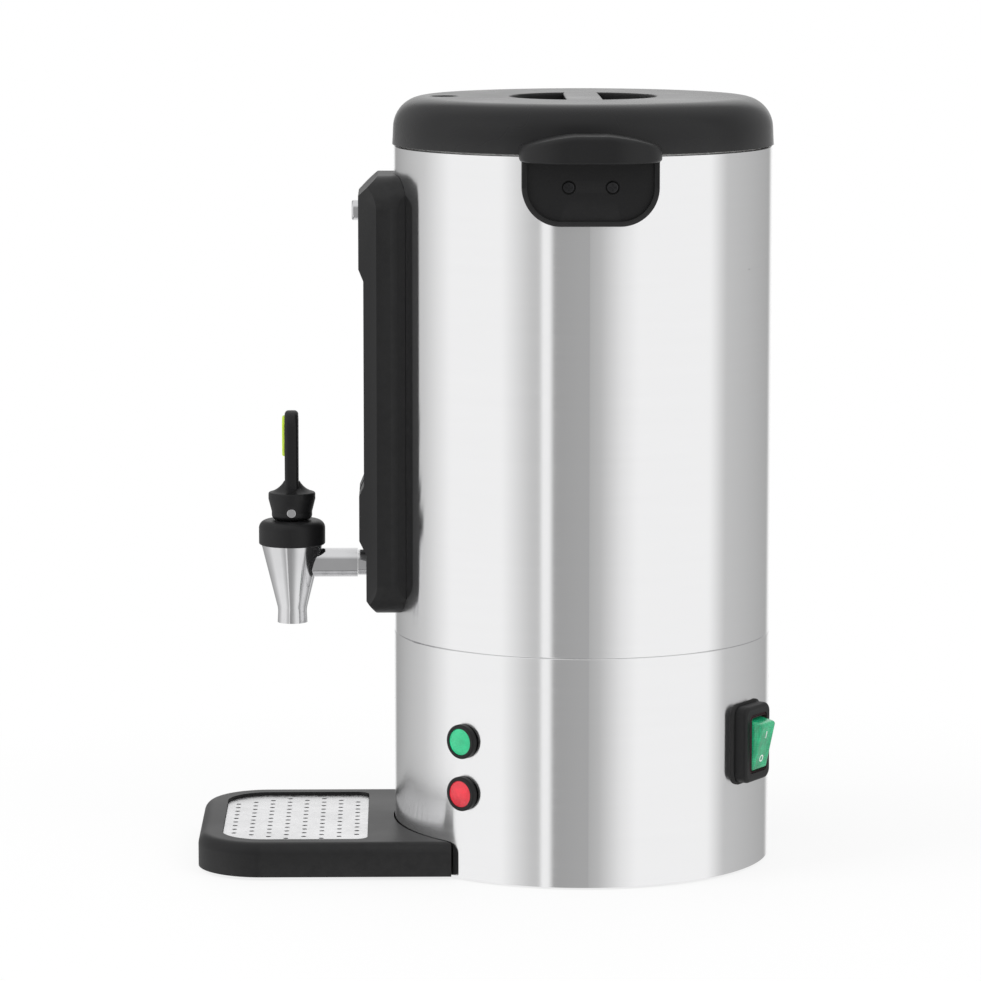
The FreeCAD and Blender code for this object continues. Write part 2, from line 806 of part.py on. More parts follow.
def make_switch_gasket():
    """A soft ring between the housing and the round wall, hollowed to the wall's curve."""
    body = new_body("gasket_blank")
    pad(body, "YZ", 4, SWITCH_BACK - 4,
        switch_outline(S.switch_wide + 3, S.switch_tall + 3, S.switch_corner + 1.5))
    pocket(body, "YZ", 6, SWITCH_BACK - 5,
           switch_outline(SWITCH_BODY_WIDE, SWITCH_BODY_TALL, Size.of(1.5)))
    pocket(body, "XY", S.switch_tall * 2, S.switch_height - S.switch_tall, circle=BASE_RADIUS)
    body.Label = "switch_gasket"
    return place(body, (0, 0, 0), [(AXIS_Z, S.switch_azimuth)])


ROCKER_PIVOT = SWITCH_FRONT - 4


def make_switch_boot():
    """The dark sealing frame round the rocker, dished towards it."""
    body = new_body("switch_boot")
    pad(body, "YZ", 3, SWITCH_FRONT - 3, switch_outline(WINDOW_WIDE - 0.2, WINDOW_TALL - 0.2, Size.of(2.9)))
    pocket(body, "YZ", 5, SWITCH_FRONT - 4,
           switch_outline(S.rocker_wide + 1.2, S.rocker_tall + 4.6, Size.of(2)))
    return place(body, (0, 0, 0), [(AXIS_Z, S.switch_azimuth)])


def make_rocker():
    """The lit rocker: its pressed half at the bottom, its raised half at the top."""
    half = S.rocker_tall / 2
    deep = 3.0
    lean = S.rocker_throw
    face = S.rocker_reach - 4
    body = new_body("rocker_blank")
    points = [(-deep, S.switch_height - half), (face - 3, S.switch_height - half),
              (face - 3.8, S.switch_height), (face - 3, S.switch_height + half),
              (-deep, S.switch_height + half)]
    half_wide = S.rocker_wide / 2
    sketch = sketch_on(body, "XZ", -half_wide)
    draw_outline(sketch, points)
    feature = body.newObject("PartDesign::Pad", "rocker_feature")
    feature.Profile = sketch
    bind(feature, "Length", S.rocker_wide)
    doc.recompute()
    round_edges(body, 1.2, lambda edge: edge.BoundBox.XMin > 1.0)
    body.Label = "switch_rocker"
    # The body leans about its pivot, so its own height is taken off before the turn.
    rise = S.switch_height * (1 - cosine(lean))
    push = S.switch_height * sine(lean)
    pivot = ROCKER_PIVOT - push
    at = (pivot * cosine(S.switch_azimuth), pivot * sine(S.switch_azimuth), rise)
    return place(body, at, [(AXIS_Z, S.switch_azimuth), (AXIS_Y, lean)])


# The tank


def make_tank():
    inner = S.tank_radius - S.sheet_wall
    floor_top = S.seam_height + S.floor_wall
    wall = turned("tank_wall", [
        (S.tank_radius, S.seam_height), (S.tank_radius, S.rim_height),
        (S.tank_radius - S.rim_width, S.rim_height),
        (S.tank_radius - S.rim_width, S.rim_height - S.sheet_wall),
        (inner, S.rim_height - S.sheet_wall), (inner, floor_top),
        (S.well_radius, floor_top), (S.well_radius, WELL_LOW + S.floor_wall),
        (0, WELL_LOW + S.floor_wall), (0, WELL_LOW), (S.well_radius + S.floor_wall, WELL_LOW),
        (S.well_radius + S.floor_wall, S.seam_height)])
    round_edges(wall, S.edge_round, circle_at(S.tank_radius, S.seam_height))
    round_edges(wall, S.edge_round, circle_at(S.tank_radius, S.rim_height))
    half = S.level_length / 2
    rib_outer = S.tank_radius + S.level_proud
    rib_band = ring("level_band", S.tank_radius - S.sheet_wall / 2, rib_outer,
                    LEVEL_HEIGHT - S.level_proud, LEVEL_HEIGHT + S.level_proud)
    rib_block = box("level_block", (S.tank_radius * 0.8, -half, LEVEL_HEIGHT - 5),
                    (rib_outer + 1, half, LEVEL_HEIGHT + 5), S.level_azimuth)
    rib = common("level_rib", [rib_band, rib_block])
    shell = fuse("tank_with_rib", [wall, rib])
    outlet = rod("tank_outlet", S.shank_radius + S.screw_fit, S.tank_radius * 1.2,
                 (0, 0, S.tap_height), TO_FRONT)
    breather = rod("tank_breather", BREATHER_RADIUS + S.screw_fit, S.tank_radius * 1.2,
                   (0, 0, BREATHER_HEIGHT), TO_FRONT)
    return cut("tank_shell", shell, [outlet, breather])


# The lid

LID_RADIUS = S.tank_radius + S.lid_proud
LID_LOW = S.rim_height + S.lid_gap
LID_INNER_TOP = LID_TOP - S.lid_wall
LINER_LOW = S.rim_height - S.liner_drop
LINER_TOP = LINER_LOW + S.sheet_wall


def make_lid_shell():
    crown = LID_RADIUS - S.lid_taper
    dome = turned("lid_dome", [
        (LID_RADIUS - S.lid_wall, LID_LOW), (LID_RADIUS, LID_LOW), (crown, LID_TOP),
        (S.well_grip_radius, LID_TOP), (S.well_grip_radius, LID_INNER_TOP),
        (crown - S.lid_wall, LID_INNER_TOP)])
    round_edges(dome, S.lid_shoulder, circle_at(crown, LID_TOP))
    round_edges(dome, S.lid_shoulder - S.lid_wall, circle_at(crown - S.lid_wall, LID_INNER_TOP))
    round_edges(dome, 1.2, circle_at(S.well_grip_radius, LID_TOP))
    half = S.grip_bar_width / 2
    reach = S.well_grip_radius + 1
    bar = new_body("lid_bar")
    pad(bar, "XY", S.grip_bar_depth, LID_TOP - S.grip_bar_depth,
        ([(-reach, -half), (reach, -half), (reach, half), (-reach, half)],))
    top = LID_TOP.value
    round_edges(bar, 1.6, lambda e: e.BoundBox.ZMin > top - 1e-4 and e.BoundBox.XLength > 1)
    bosses = [rod(f"lid_boss_{n}", S.lid_boss_radius, LID_INNER_TOP + 1 - LINER_TOP, (x, y, LINER_TOP))
              for n, (x, y) in enumerate(around(4, S.lid_boss_circle, 45))]
    solid = fuse("lid_solid", [dome, bar] + bosses)
    tools = [rod("lid_vent_hole", S.steam_vent_radius + S.screw_fit, S.lid_wall + 2,
                 (0, -STEAM_VENT_PLACE, LID_INNER_TOP - 1))]
    tools += [rod(f"lid_boss_bore_{n}", S.screw_radius + S.screw_fit, 14, (x, y, LINER_TOP - 1))
              for n, (x, y) in enumerate(around(4, S.lid_boss_circle, 45))]
    return cut("lid_shell", solid, tools)


def make_lid_cup():
    """The round grip well under the bar, notched where the bar's ends pass over its wall."""
    outer = S.well_grip_radius - S.screw_fit
    inner = outer - S.grip_cup_wall
    low = LID_TOP - S.grip_cup_depth
    top = LID_INNER_TOP + 1
    cup = turned("cup_blank", [
        (0, low), (outer, low), (outer, top), (inner, top),
        (inner, low + S.grip_cup_wall), (0, low + S.grip_cup_wall)])
    round_edges(cup, 5, circle_at(outer, low))
    round_edges(cup, 3.5, circle_at(inner, low + S.grip_cup_wall))
    half = S.grip_bar_width / 2 + S.screw_fit
    notch = box("cup_notch", (-S.well_grip_radius - 1, -half, LID_TOP - S.grip_bar_depth - S.screw_fit),
                (S.well_grip_radius + 1, half, LID_TOP + 1))
    return cut("lid_cup", cup, [notch])


def make_lid_liner():
    outer = LINER_RADIUS
    pan = turned("liner_pan", [
        (0, LINER_LOW), (outer, LINER_LOW), (outer, LINER_LOW + 12), (outer - S.sheet_wall, LINER_LOW + 12),
        (outer - S.sheet_wall, LINER_TOP), (0, LINER_TOP)])
    round_edges(pan, S.sheet_wall + 1, circle_at(outer, LINER_LOW))
    holes = [rod(f"liner_hole_{n}", S.screw_radius + S.screw_fit, 4, (x, y, LINER_LOW - 1))
             for n, (x, y) in enumerate(around(4, S.lid_boss_circle, 45))]
    holes += [rod(f"liner_steam_{n}", 2.0, 4, (x, y - STEAM_VENT_PLACE, LINER_LOW - 1))
              for n, (x, y) in enumerate(around(5, Size.of(6.0)))]
    return cut("lid_liner", pan, holes)


def make_lid_seal():
    outer = LID_RADIUS - S.lid_wall - S.seat_gap
    low = S.rim_height + S.seat_gap
    return ring("lid_seal", outer - S.seal_width, outer, low, low + S.seal_tall)


def make_lid_screws():
    screws = []
    for index, (x, y) in enumerate(around(4, S.lid_boss_circle, 45)):
        piece = screw(f"lid_screw_{index}", S.screw_head_radius, S.screw_head_height, S.screw_radius,
                      Size.of(10.0))
        screws.append(place(piece, (x, y, LINER_LOW)))
    return group("lid_screws", screws)


def make_lid_vent():
    """A shallow cup in the lid's top, with small steam holes in its floor."""
    low = LID_TOP - 6
    cup = turned("vent_cup", [
        (0, low), (S.steam_vent_radius, low), (S.steam_vent_radius, LID_TOP - 0.2),
        (S.steam_vent_radius - 1.2, LID_TOP - 0.2), (S.steam_vent_radius - 1.2, low + 1.5),
        (0, low + 1.5)])
    place(cup, (0, -STEAM_VENT_PLACE, 0))
    holes = [rod(f"vent_hole_{n}", S.steam_hole_radius, 4, (x, y - STEAM_VENT_PLACE, low - 1))
             for n, (x, y) in enumerate(around(6, Size.of(4.2)))]
    return cut("lid_vent", cup, holes)


# The percolator: pump foot, riser, basket and cover

STEM_LOW = WELL_LOW + S.floor_wall + S.seat_gap


def make_pump_foot():
    """A bell that stands in the tank's well, with an inlet in its floor and a neck on top."""
    neck = S.stem_radius + 2.5
    top = STEM_LOW + S.bell_height
    bore = S.stem_radius + S.slide_fit
    skirt = STEM_LOW + 3
    return turned("pump_foot", [
        (4, STEM_LOW), (S.bell_radius, STEM_LOW), (S.bell_radius, skirt), (neck, top),
        (neck, top + 8), (bore, top + 8), (bore, top), (S.bell_radius - 2.6, skirt - 0.6),
        (S.bell_radius - 2.6, STEM_LOW + 1.2), (4, STEM_LOW + 1.2)])


def make_riser():
    """The thin tube that hot water climbs, with a collar that carries the basket."""
    low = STEM_LOW + S.bell_height + 1
    seat = BASKET_FLOOR
    inner = S.stem_radius - S.stem_wall
    return turned("riser_tube", [
        (inner, low), (S.stem_radius, low), (S.stem_radius, seat - 5), (S.collar_radius, seat - 3),
        (S.collar_radius, seat), (S.stem_radius, seat), (S.stem_radius, STEM_TOP), (inner, STEM_TOP)])


def make_pump_valve():
    low = STEM_LOW + 1.2 + S.seat_gap
    return ring("pump_valve", Size.of(1.0), S.valve_radius, low, low + S.valve_wall)


def make_basket():
    low = BASKET_FLOOR + S.seat_gap
    high = low + S.basket_tall
    bore = S.stem_radius + S.seat_gap
    inner = S.basket_radius - S.basket_wall
    can = turned("basket_can", [
        (bore, low), (S.basket_radius, low), (S.basket_radius, high), (inner, high),
        (inner, low + S.basket_wall), (bore + S.basket_wall, low + S.basket_wall),
        (bore + S.basket_wall, low + 14), (bore, low + 14)])
    rings = [(12, S.basket_radius * 0.25), (18, S.basket_radius * 0.42), (26, S.basket_radius * 0.6),
             (34, S.basket_radius * 0.78)]
    holes = hole_circles("basket_hole", S.basket_hole_radius, rings, low - 1, low + S.basket_wall + 1)
    return cut("coffee_basket", can, holes)


def make_basket_cover():
    low = BASKET_FLOOR + S.seat_gap * 2 + S.basket_tall
    bore = S.stem_radius + S.seat_gap
    outer = S.basket_radius + S.seat_gap + S.basket_wall
    cap = turned("cover_cap", [
        (bore, low), (outer - S.basket_wall, low), (outer - S.basket_wall, low - 6), (outer, low - 6),
        (outer, low + S.basket_wall), (bore, low + S.basket_wall)])
    holes = hole_circles("cover_hole", S.basket_hole_radius,
                         [(10, S.basket_radius * 0.3), (16, S.basket_radius * 0.5),
                          (22, S.basket_radius * 0.7)], low - 1, low + S.basket_wall + 1)
    return cut("basket_cover", cap, holes)


# The side handles

HANDLE_TANK = S.tank_radius + S.screw_fit
HANDLE_LID = LID_RADIUS + 1.5
BRACKET_OUTER = HANDLE_TANK + S.bracket_wall
BRACKET_LOW = HANDLE_SCREW_HEIGHT - S.bracket_tall / 2


def make_handle(label, azimuth):
    """A crowned ledge to lift by, over a rimmed back plate with a rounded foot."""
    body = new_body(label)
    start = S.tank_radius * 0.85
    half = S.handle_half
    reach = S.tank_radius + S.handle_reach
    corner = S.handle_corner
    ledge = [(start, -half), (reach - corner, -half), (reach, -half + corner), (reach, half - corner),
             (reach - corner, half), (start, half)]
    pad(body, "XY", HANDLE_TOP - HANDLE_LEDGE, HANDLE_LEDGE, (ledge, {1: corner, 3: corner}))
    shoulder = HANDLE_TOP - 8.2
    crown = [(-half - 1, shoulder), (half + 1, shoulder), (half + 1, HANDLE_TOP + 9),
             (-half - 1, HANDLE_TOP + 9)]
    doc.recompute()
    pocket(body, "YZ", reach, 0, (crown, {0: -S.handle_crown}))
    back_x = start.value + 0.01
    low_z = HANDLE_LEDGE.value
    round_edges(body, 3.2, lambda e: e.BoundBox.XMax > back_x and e.BoundBox.ZMin > low_z + 1
                and e.BoundBox.ZLength < 8)
    round_edges(body, 1.8, lambda e: e.BoundBox.XMax > back_x and e.BoundBox.ZMax < low_z + 0.01)
    plate_half = half - 1.5
    plate = rounded_box((-plate_half, HANDLE_LOW), (plate_half, HANDLE_LEDGE + 3),
                        S.handle_foot_corner, Size.of(0.5))
    pad(body, "YZ", HANDLE_FACE - start, start, plate)
    rim = S.handle_rim
    recess = rounded_box((-plate_half + rim, HANDLE_LOW + rim), (plate_half - rim, HANDLE_LEDGE),
                         S.handle_foot_corner - rim, Size.of(0.5))
    pocket(body, "YZ", HANDLE_FACE - RECESS_FLOOR + 1, RECESS_FLOOR, recess)
    pocket(body, "XY", HANDLE_TOP, 0, circle=HANDLE_TANK)
    pocket(body, "XY", HANDLE_TOP, HANDLE_LEDGE + 0.8, circle=HANDLE_LID)
    blank = body
    blank.Label = label + "_blank"
    fit = S.seat_gap
    sleeve = ring(label + "_bracket_room", HANDLE_TANK - 1, BRACKET_OUTER + fit, BRACKET_LOW - fit,
                  BRACKET_LOW + S.bracket_tall + fit)
    block = box(label + "_bracket_block", (0, -S.bracket_half - fit, BRACKET_LOW - 2),
                (BRACKET_OUTER * 1.1, S.bracket_half + fit, BRACKET_LOW + S.bracket_tall + 2))
    tools = [common(label + "_bracket_space", [sleeve, block])]
    for side in (-0.5, 0.5):
        at = (0, S.handle_screw_pitch * side, HANDLE_SCREW_HEIGHT)
        tools.append(rod(f"{label}_screw_hole_{len(tools)}", S.screw_radius + 0.5 + S.screw_fit,
                         HANDLE_FACE, at, outward(0)))
        deep = (RECESS_FLOOR - HEAD_SINK, S.handle_screw_pitch * side, HANDLE_SCREW_HEIGHT)
        tools.append(rod(f"{label}_counterbore_{len(tools)}", S.handle_bore, 6, deep, outward(0)))
    return place(cut(label, blank, tools), (0, 0, 0), [(AXIS_Z, azimuth)])


HEAD_SINK = Size.of(1.6)


def make_handle_brackets():
    """Curved straps on the tank wall that the handle screws pull against."""
    straps = []
    for index, azimuth in enumerate((0, 180)):
        sleeve = ring(f"strap_sleeve_{index}", HANDLE_TANK, BRACKET_OUTER, BRACKET_LOW,
                      BRACKET_LOW + S.bracket_tall)
        block = box(f"strap_block_{index}", (0, -S.bracket_half, BRACKET_LOW - 1),
                    (BRACKET_OUTER * 1.1, S.bracket_half, BRACKET_LOW + S.bracket_tall + 1))
        strap = common(f"strap_{index}", [sleeve, block])
        holes = [rod(f"strap_hole_{index}_{n}", S.screw_radius + 0.5 + S.screw_fit, BRACKET_OUTER * 1.1,
                     (0, S.handle_screw_pitch * side, HANDLE_SCREW_HEIGHT), outward(0))
                 for n, side in enumerate((-0.5, 0.5))]
        straps.append(place(cut(f"strap_cut_{index}", strap, holes), (0, 0, 0), [(AXIS_Z, azimuth)]))
    return group("handle_brackets", straps)


def make_handle_screws():
    """Each screw's head is sunk in its counterbore, and its shank ends in the bracket."""
    screws = []
    seat = RECESS_FLOOR - HEAD_SINK
    length = seat - HANDLE_TANK - 0.4
    for azimuth in (0, 180):
        for side in (-0.5, 0.5):
            piece = screw(f"handle_screw_{len(screws)}", S.screw_head_radius, HEAD_SINK - 0.2,
                          S.screw_radius + 0.5, length)
            y = S.handle_screw_pitch * side
            at = (seat * cosine(azimuth) - y * sine(azimuth), seat * sine(azimuth) + y * cosine(azimuth),
                  HANDLE_SCREW_HEIGHT)
            screws.append(place(piece, at, [(AXIS_Z, azimuth), (AXIS_Y, -90)]))
    return group("handle_screws", screws)


# The sight glass column

BREATHER_RADIUS = Size.of(3.0)
BREATHER_HEIGHT = GLASS_HIGH + S.fitting_half / 2 + 1

# The column's foot and the whole tap take their heights from the tap's arm.
COLUMN_LOW = S.tap_height - S.column_drop
BULGE_LOW = S.tap_height + S.bulge_rise
WAIST_LOW = S.tap_height + S.waist_rise
GLASS_LOW = S.tap_height + S.glass_rise
SLOT_LOW = S.tap_height + S.slot_rise
OUTLET_HEIGHT = S.tap_height - S.outlet_drop
CONE_LOW = OUTLET_HEIGHT + S.spout_tall
THROAT_HEIGHT = S.tap_height - S.throat_drop
CONE_TOP = S.tap_height + S.cone_rise
BONNET_TOP = CONE_TOP + S.bonnet_tall
PIN_HEIGHT = BONNET_TOP + S.pin_rise
ROD_TOP = BONNET_TOP + S.rod_rise
COLLAR_HEIGHT = BONNET_TOP + S.collar_rise
BLADE_TOP = COLLAR_HEIGHT + S.blade_rise
INLAY_HIGH = BLADE_TOP - S.inlay_drop
INLAY_LOW = INLAY_HIGH - S.inlay_tall


def column_plan(inset):
    """Half the column seen from above, from its split plane to its bevelled front."""
    half = S.column_half - inset
    flat = S.column_half - S.column_bevel - inset * 0.4
    front = COLUMN_FRONT - inset
    side = COLUMN_SIDE - inset * 0.4
    back = COLUMN_SPLIT
    return [(-half, -back), (-half, -side), (-flat, -front), (flat, -front), (half, -side), (half, -back)]


def column_corners():
    """The frame outside the column's rounded outline, seen from the front."""
    far = 12
    outer = [(-S.column_half - far, COLUMN_LOW - far), (S.column_half + far, COLUMN_LOW - far),
             (S.column_half + far, COLUMN_TOP + far), (-S.column_half - far, COLUMN_TOP + far)]
    inner = rounded_box((-S.column_half, COLUMN_LOW), (S.column_half, COLUMN_TOP),
                        S.column_corner, S.column_corner)
    return outer, inner


def cut_corners(body, length):
    outer, inner = column_corners()
    sketch = sketch_on(body, "XZ", 0)
    draw_outline(sketch, outer)
    draw_outline(sketch, *inner)
    doc.recompute()
    before = body.Shape.Volume
    feature = body.newObject("PartDesign::Pocket", body.Label + "_corners")
    feature.Profile = sketch
    bind(feature, "Length", length)
    feature.Reversed = True
    doc.recompute()
    if body.Shape.Volume > before - 1e-6:
        raise RuntimeError(f"{body.Label}: the corners are not cut")


def make_column_front():
    """The cover: wide ends, a shallower waist between them, and a slot over the glass."""
    body = new_body("column_front")
    tall = COLUMN_TOP - COLUMN_LOW
    pad(body, "XY", tall, COLUMN_LOW, (column_plan(Size.of(0)),))
    cut_corners(body, COLUMN_FRONT + 5)
    far = COLUMN_FRONT + 12
    profile = [
        (-far, COLUMN_TOP + 3), (-COLUMN_SIDE + 1, COLUMN_TOP + 3), (-COLUMN_SIDE + 1, COLUMN_TOP),
        (-COLUMN_FRONT, COLUMN_TOP - S.chamfer_top),
        (-COLUMN_FRONT, WAIST_HIGH + S.ramp_tall), (-COLUMN_WAIST, WAIST_HIGH),
        (-COLUMN_WAIST, WAIST_LOW), (-COLUMN_FRONT, WAIST_LOW - S.ramp_tall),
        (-COLUMN_FRONT, BULGE_LOW), (-COLUMN_FOOT, BULGE_LOW - S.bulge_ramp),
        (-COLUMN_FOOT, COLUMN_LOW + S.chamfer_foot), (-COLUMN_SIDE, COLUMN_LOW),
        (-COLUMN_SIDE, COLUMN_LOW - 3), (-far, COLUMN_LOW - 3)]
    pocket(body, "YZ", S.column_half * 2 + 4, -S.column_half - 2, (profile,))
    front = COLUMN_SIDE.value + 0.5
    round_edges(body, 1.5, lambda e: e.BoundBox.YMax < -front and e.BoundBox.XLength < 1
                and e.BoundBox.ZLength > 20)
    hollow = column_plan(S.column_wall + 1.4)
    hollow[0] = (hollow[0][0], -COLUMN_SPLIT + 1)
    hollow[-1] = (hollow[-1][0], -COLUMN_SPLIT + 1)
    end = S.column_wall + 8
    pocket(body, "XY", tall - end * 2, COLUMN_LOW + end, (hollow,))
    slot = rounded_box((-S.slot_half, SLOT_LOW), (S.slot_half, SLOT_HIGH), S.slot_half - 0.2,
                       S.slot_half - 0.2)
    pocket(body, "XZ", 20, COLUMN_SIDE, slot)
    pocket(body, "XZ", 20, COLUMN_SIDE, circle=S.arm_radius + S.seat_gap, centre=(0, S.tap_height))
    pocket(body, "XZ", 20, COLUMN_SIDE, circle=Size.of(3.0), centre=(0, CAP_HEIGHT))
    return body


def make_column_back():
    """The plate between the cover and the round tank."""
    body = new_body("column_back")
    edge = S.tank_radius - 6
    half = S.column_half
    plan = [(-half, -COLUMN_SPLIT), (half, -COLUMN_SPLIT), (half, -edge - 4), (half - 3, -edge + 3),
            (-half + 3, -edge + 3), (-half, -edge - 4)]
    pad(body, "XY", COLUMN_TOP - COLUMN_LOW, COLUMN_LOW, (plan,))
    cut_corners(body, COLUMN_SPLIT + 5)
    pocket(body, "XY", COLUMN_TOP, 0, circle=S.tank_radius + S.screw_fit)
    pocket(body, "XZ", 30, S.tank_radius - 20, circle=S.shank_radius + S.screw_fit,
           centre=(0, S.tap_height))
    pocket(body, "XZ", 30, S.tank_radius - 20, circle=BREATHER_RADIUS + S.screw_fit,
           centre=(0, BREATHER_HEIGHT))
    return body


def make_sight_glass():
    tube = ring("sight_glass", S.glass_radius - S.glass_wall, S.glass_radius, GLASS_LOW, GLASS_HIGH)
    return place(tube, (0, -GLASS_PLACE, 0))


def make_glass_seals():
    seals = []
    for low in (GLASS_LOW, GLASS_HIGH - 5):
        seal = ring(f"glass_seal_{len(seals)}", S.glass_radius + S.slide_fit,
                    S.glass_radius + S.glass_seal_wall, low, low + 5)
        seals.append(place(seal, (0, -GLASS_PLACE, 0)))
    return group("glass_seals", seals)


def make_gauge_tee():
    """The block on the shank that feeds the glass from below."""
    half = S.fitting_half + 1
    low = S.tap_height - half
    front = GLASS_PLACE + S.glass_radius
    block = box("tee_block", (-half, -front, low), (half, -COLUMN_SPLIT - S.screw_fit, GLASS_LOW))
    bores = [rod("tee_shank_bore", S.shank_radius + S.slide_fit, 30,
                 (0, -COLUMN_SPLIT + 5, S.tap_height), TO_FRONT),
             rod("tee_feed", S.glass_radius - S.glass_wall - 1, GLASS_LOW - S.tap_height + 1,
                 (0, -GLASS_PLACE, S.tap_height))]
    return cut("gauge_tee", block, bores)


def make_gauge_cap():
    """The block on top of the glass, with a breather into the tank and a thread for the cap screw."""
    half = S.fitting_half
    low = GLASS_HIGH
    front = GLASS_PLACE + S.glass_radius
    block = box("gauge_block", (-half, -front, low), (half, -COLUMN_SPLIT - S.screw_fit, CAP_HEIGHT + 5))
    pipe = rod("gauge_pipe", BREATHER_RADIUS, GLASS_PLACE - S.tank_radius + 3,
               (0, -S.tank_radius + 3, BREATHER_HEIGHT), TO_FRONT)
    solid = fuse("gauge_solid", [block, pipe])
    bores = [rod("gauge_breather", Size.of(1.8), GLASS_PLACE - S.tank_radius + 4,
                 (0, -S.tank_radius + 4, BREATHER_HEIGHT), TO_FRONT),
             rod("gauge_rise", S.glass_radius - S.glass_wall - 1.8, BREATHER_HEIGHT - low + 2,
                 (0, -GLASS_PLACE, low - 1)),
             rod("gauge_thread", Size.of(2.6), 4.5, (0, -front + 4, CAP_HEIGHT), TO_FRONT)]
    return cut("gauge_cap", solid, bores)


def make_cap_screw():
    """The round knurled screw that holds the cover, its shank along Z until it is placed."""
    screw_body = turned("column_cap_screw", [
        (0, 0), (2.4, 0), (2.4, COLUMN_FRONT - GLASS_PLACE - S.glass_radius + 3),
        (S.cap_radius, COLUMN_FRONT - GLASS_PLACE - S.glass_radius + 3),
        (S.cap_radius, COLUMN_FRONT - GLASS_PLACE - S.glass_radius + 3 + S.cap_proud),
        (0, COLUMN_FRONT - GLASS_PLACE - S.glass_radius + 3 + S.cap_proud)])
    top = COLUMN_FRONT - GLASS_PLACE - S.glass_radius + 3 + S.cap_proud
    round_edges(screw_body, 1.2, circle_at(S.cap_radius, top))
    return place(screw_body, (0, -(GLASS_PLACE + S.glass_radius - 3 + 0.1), CAP_HEIGHT), TO_FRONT)


# The tap


def make_tap_shank():
    """The threaded pipe from inside the tank to the column's front."""
    start = S.tank_radius - S.sheet_wall - S.nut_wall - 3
    pipe = ring("tap_shank", S.arm_bore, S.shank_radius, start, COLUMN_FRONT + 1)
    return place(pipe, (0, 0, S.tap_height), TO_FRONT)


def make_tap_nut():
    hexagon = named("Part::Prism", "nut_blank")
    hexagon.Polygon = 6
    bind(hexagon, "Circumradius", S.nut_radius)
    bind(hexagon, "Height", S.nut_wall)
    start = S.tank_radius - S.sheet_wall - S.nut_wall - 2.4
    place(hexagon, (0, -start, S.tap_height), TO_FRONT)
    bore = rod("nut_bore", S.shank_radius + S.slide_fit, 40, (0, -start + 5, S.tap_height), TO_FRONT)
    return cut("tap_nut", hexagon, [bore])


def make_tap_washer():
    """A soft washer inside the tank: its outer face follows the round wall."""
    inner = S.tank_radius - S.sheet_wall
    blank = rod("washer_blank", S.nut_radius, 6, (0, -inner + 2.4, S.tap_height), TO_FRONT)
    wall = rod("washer_wall", inner - S.slide_fit, S.nut_radius * 4,
               (0, 0, S.tap_height - S.nut_radius * 2))
    kept = common("washer_kept", [blank, wall])
    bore = rod("washer_bore", S.shank_radius + S.slide_fit, 40, (0, -inner + 10, S.tap_height), TO_FRONT)
    return cut("tap_washer", kept, [bore])


def make_tap_body():
    """A steel cone with a spout, on a round arm from the column."""
    cone = turned("tap_cone", [
        (0, OUTLET_HEIGHT), (S.outlet_radius, OUTLET_HEIGHT), (S.outlet_radius - 0.4, CONE_LOW),
        (S.cone_radius, CONE_TOP), (0, CONE_TOP)])
    round_edges(cone, Size.of(14.0), circle_at(S.outlet_radius - 0.4, CONE_LOW))
    place(cone, (0, -TAP_PLACE, 0))
    arm_start = COLUMN_FRONT + S.seat_gap + 1
    arm = rod("tap_arm", S.arm_radius, TAP_PLACE - arm_start, (0, -arm_start, S.tap_height), TO_FRONT)
    solid = fuse("tap_solid", [cone, arm])
    feed = rod("tap_feed", S.arm_bore, TAP_PLACE - arm_start + 1, (0, -arm_start + 1, S.tap_height),
               TO_FRONT)
    seat = THROAT_HEIGHT + 4
    chamber = turned("tap_chamber", [
        (0, OUTLET_HEIGHT - 1), (S.outlet_bore, OUTLET_HEIGHT - 1), (S.outlet_bore, THROAT_HEIGHT),
        (S.outlet_bore - 0.9, THROAT_HEIGHT), (S.outlet_bore - 0.9, seat), (S.chamber_radius - 1.5, seat),
        (S.chamber_radius, CONE_TOP - 10), (S.chamber_radius + 2, CONE_TOP + 1), (0, CONE_TOP + 1)])
    place(chamber, (0, -TAP_PLACE, 0))
    return cut("tap_body", solid, [feed, chamber])


def make_tap_bonnet():
    """The round collar on the cone that the lever rocks on, bored for the stem."""
    bore = S.rod_radius + S.slide_fit
    skirt = S.chamber_radius + 1.6 - S.seat_gap
    bonnet = turned("tap_bonnet", [
        (bore, CONE_TOP + 5), (skirt - 2.5, CONE_TOP + 5), (skirt - 2.5, CONE_TOP - 0.8),
        (skirt, CONE_TOP - 0.8), (skirt, CONE_TOP), (S.bonnet_radius, CONE_TOP),
        (S.bonnet_radius, BONNET_TOP), (bore, BONNET_TOP)])
    round_edges(bonnet, S.bonnet_round, circle_at(S.bonnet_radius, BONNET_TOP))
    round_edges(bonnet, 1.2, circle_at(S.bonnet_radius, CONE_TOP))
    return place(bonnet, (0, -TAP_PLACE, 0))


SEAT_HEIGHT = THROAT_HEIGHT + 4 + S.seat_gap


def make_tap_stem():
    """The rod that lifts the seat cup: a flange inside the cup, an eye for the lever's pin."""
    low = SEAT_HEIGHT + 2
    blank = turned("stem_blank", [
        (0, low), (S.cup_radius - 3, low), (S.cup_radius - 3, low + 2), (S.rod_radius, low + 2),
        (S.rod_radius, ROD_TOP), (0, ROD_TOP)])
    round_edges(blank, 1.5, circle_at(S.rod_radius, ROD_TOP))
    place(blank, (0, -TAP_PLACE, 0))
    eye = rod("stem_eye", S.pin_radius + S.slide_fit, 20, (-10, -TAP_PLACE, PIN_HEIGHT), outward(0))
    return cut("tap_stem", blank, [eye])


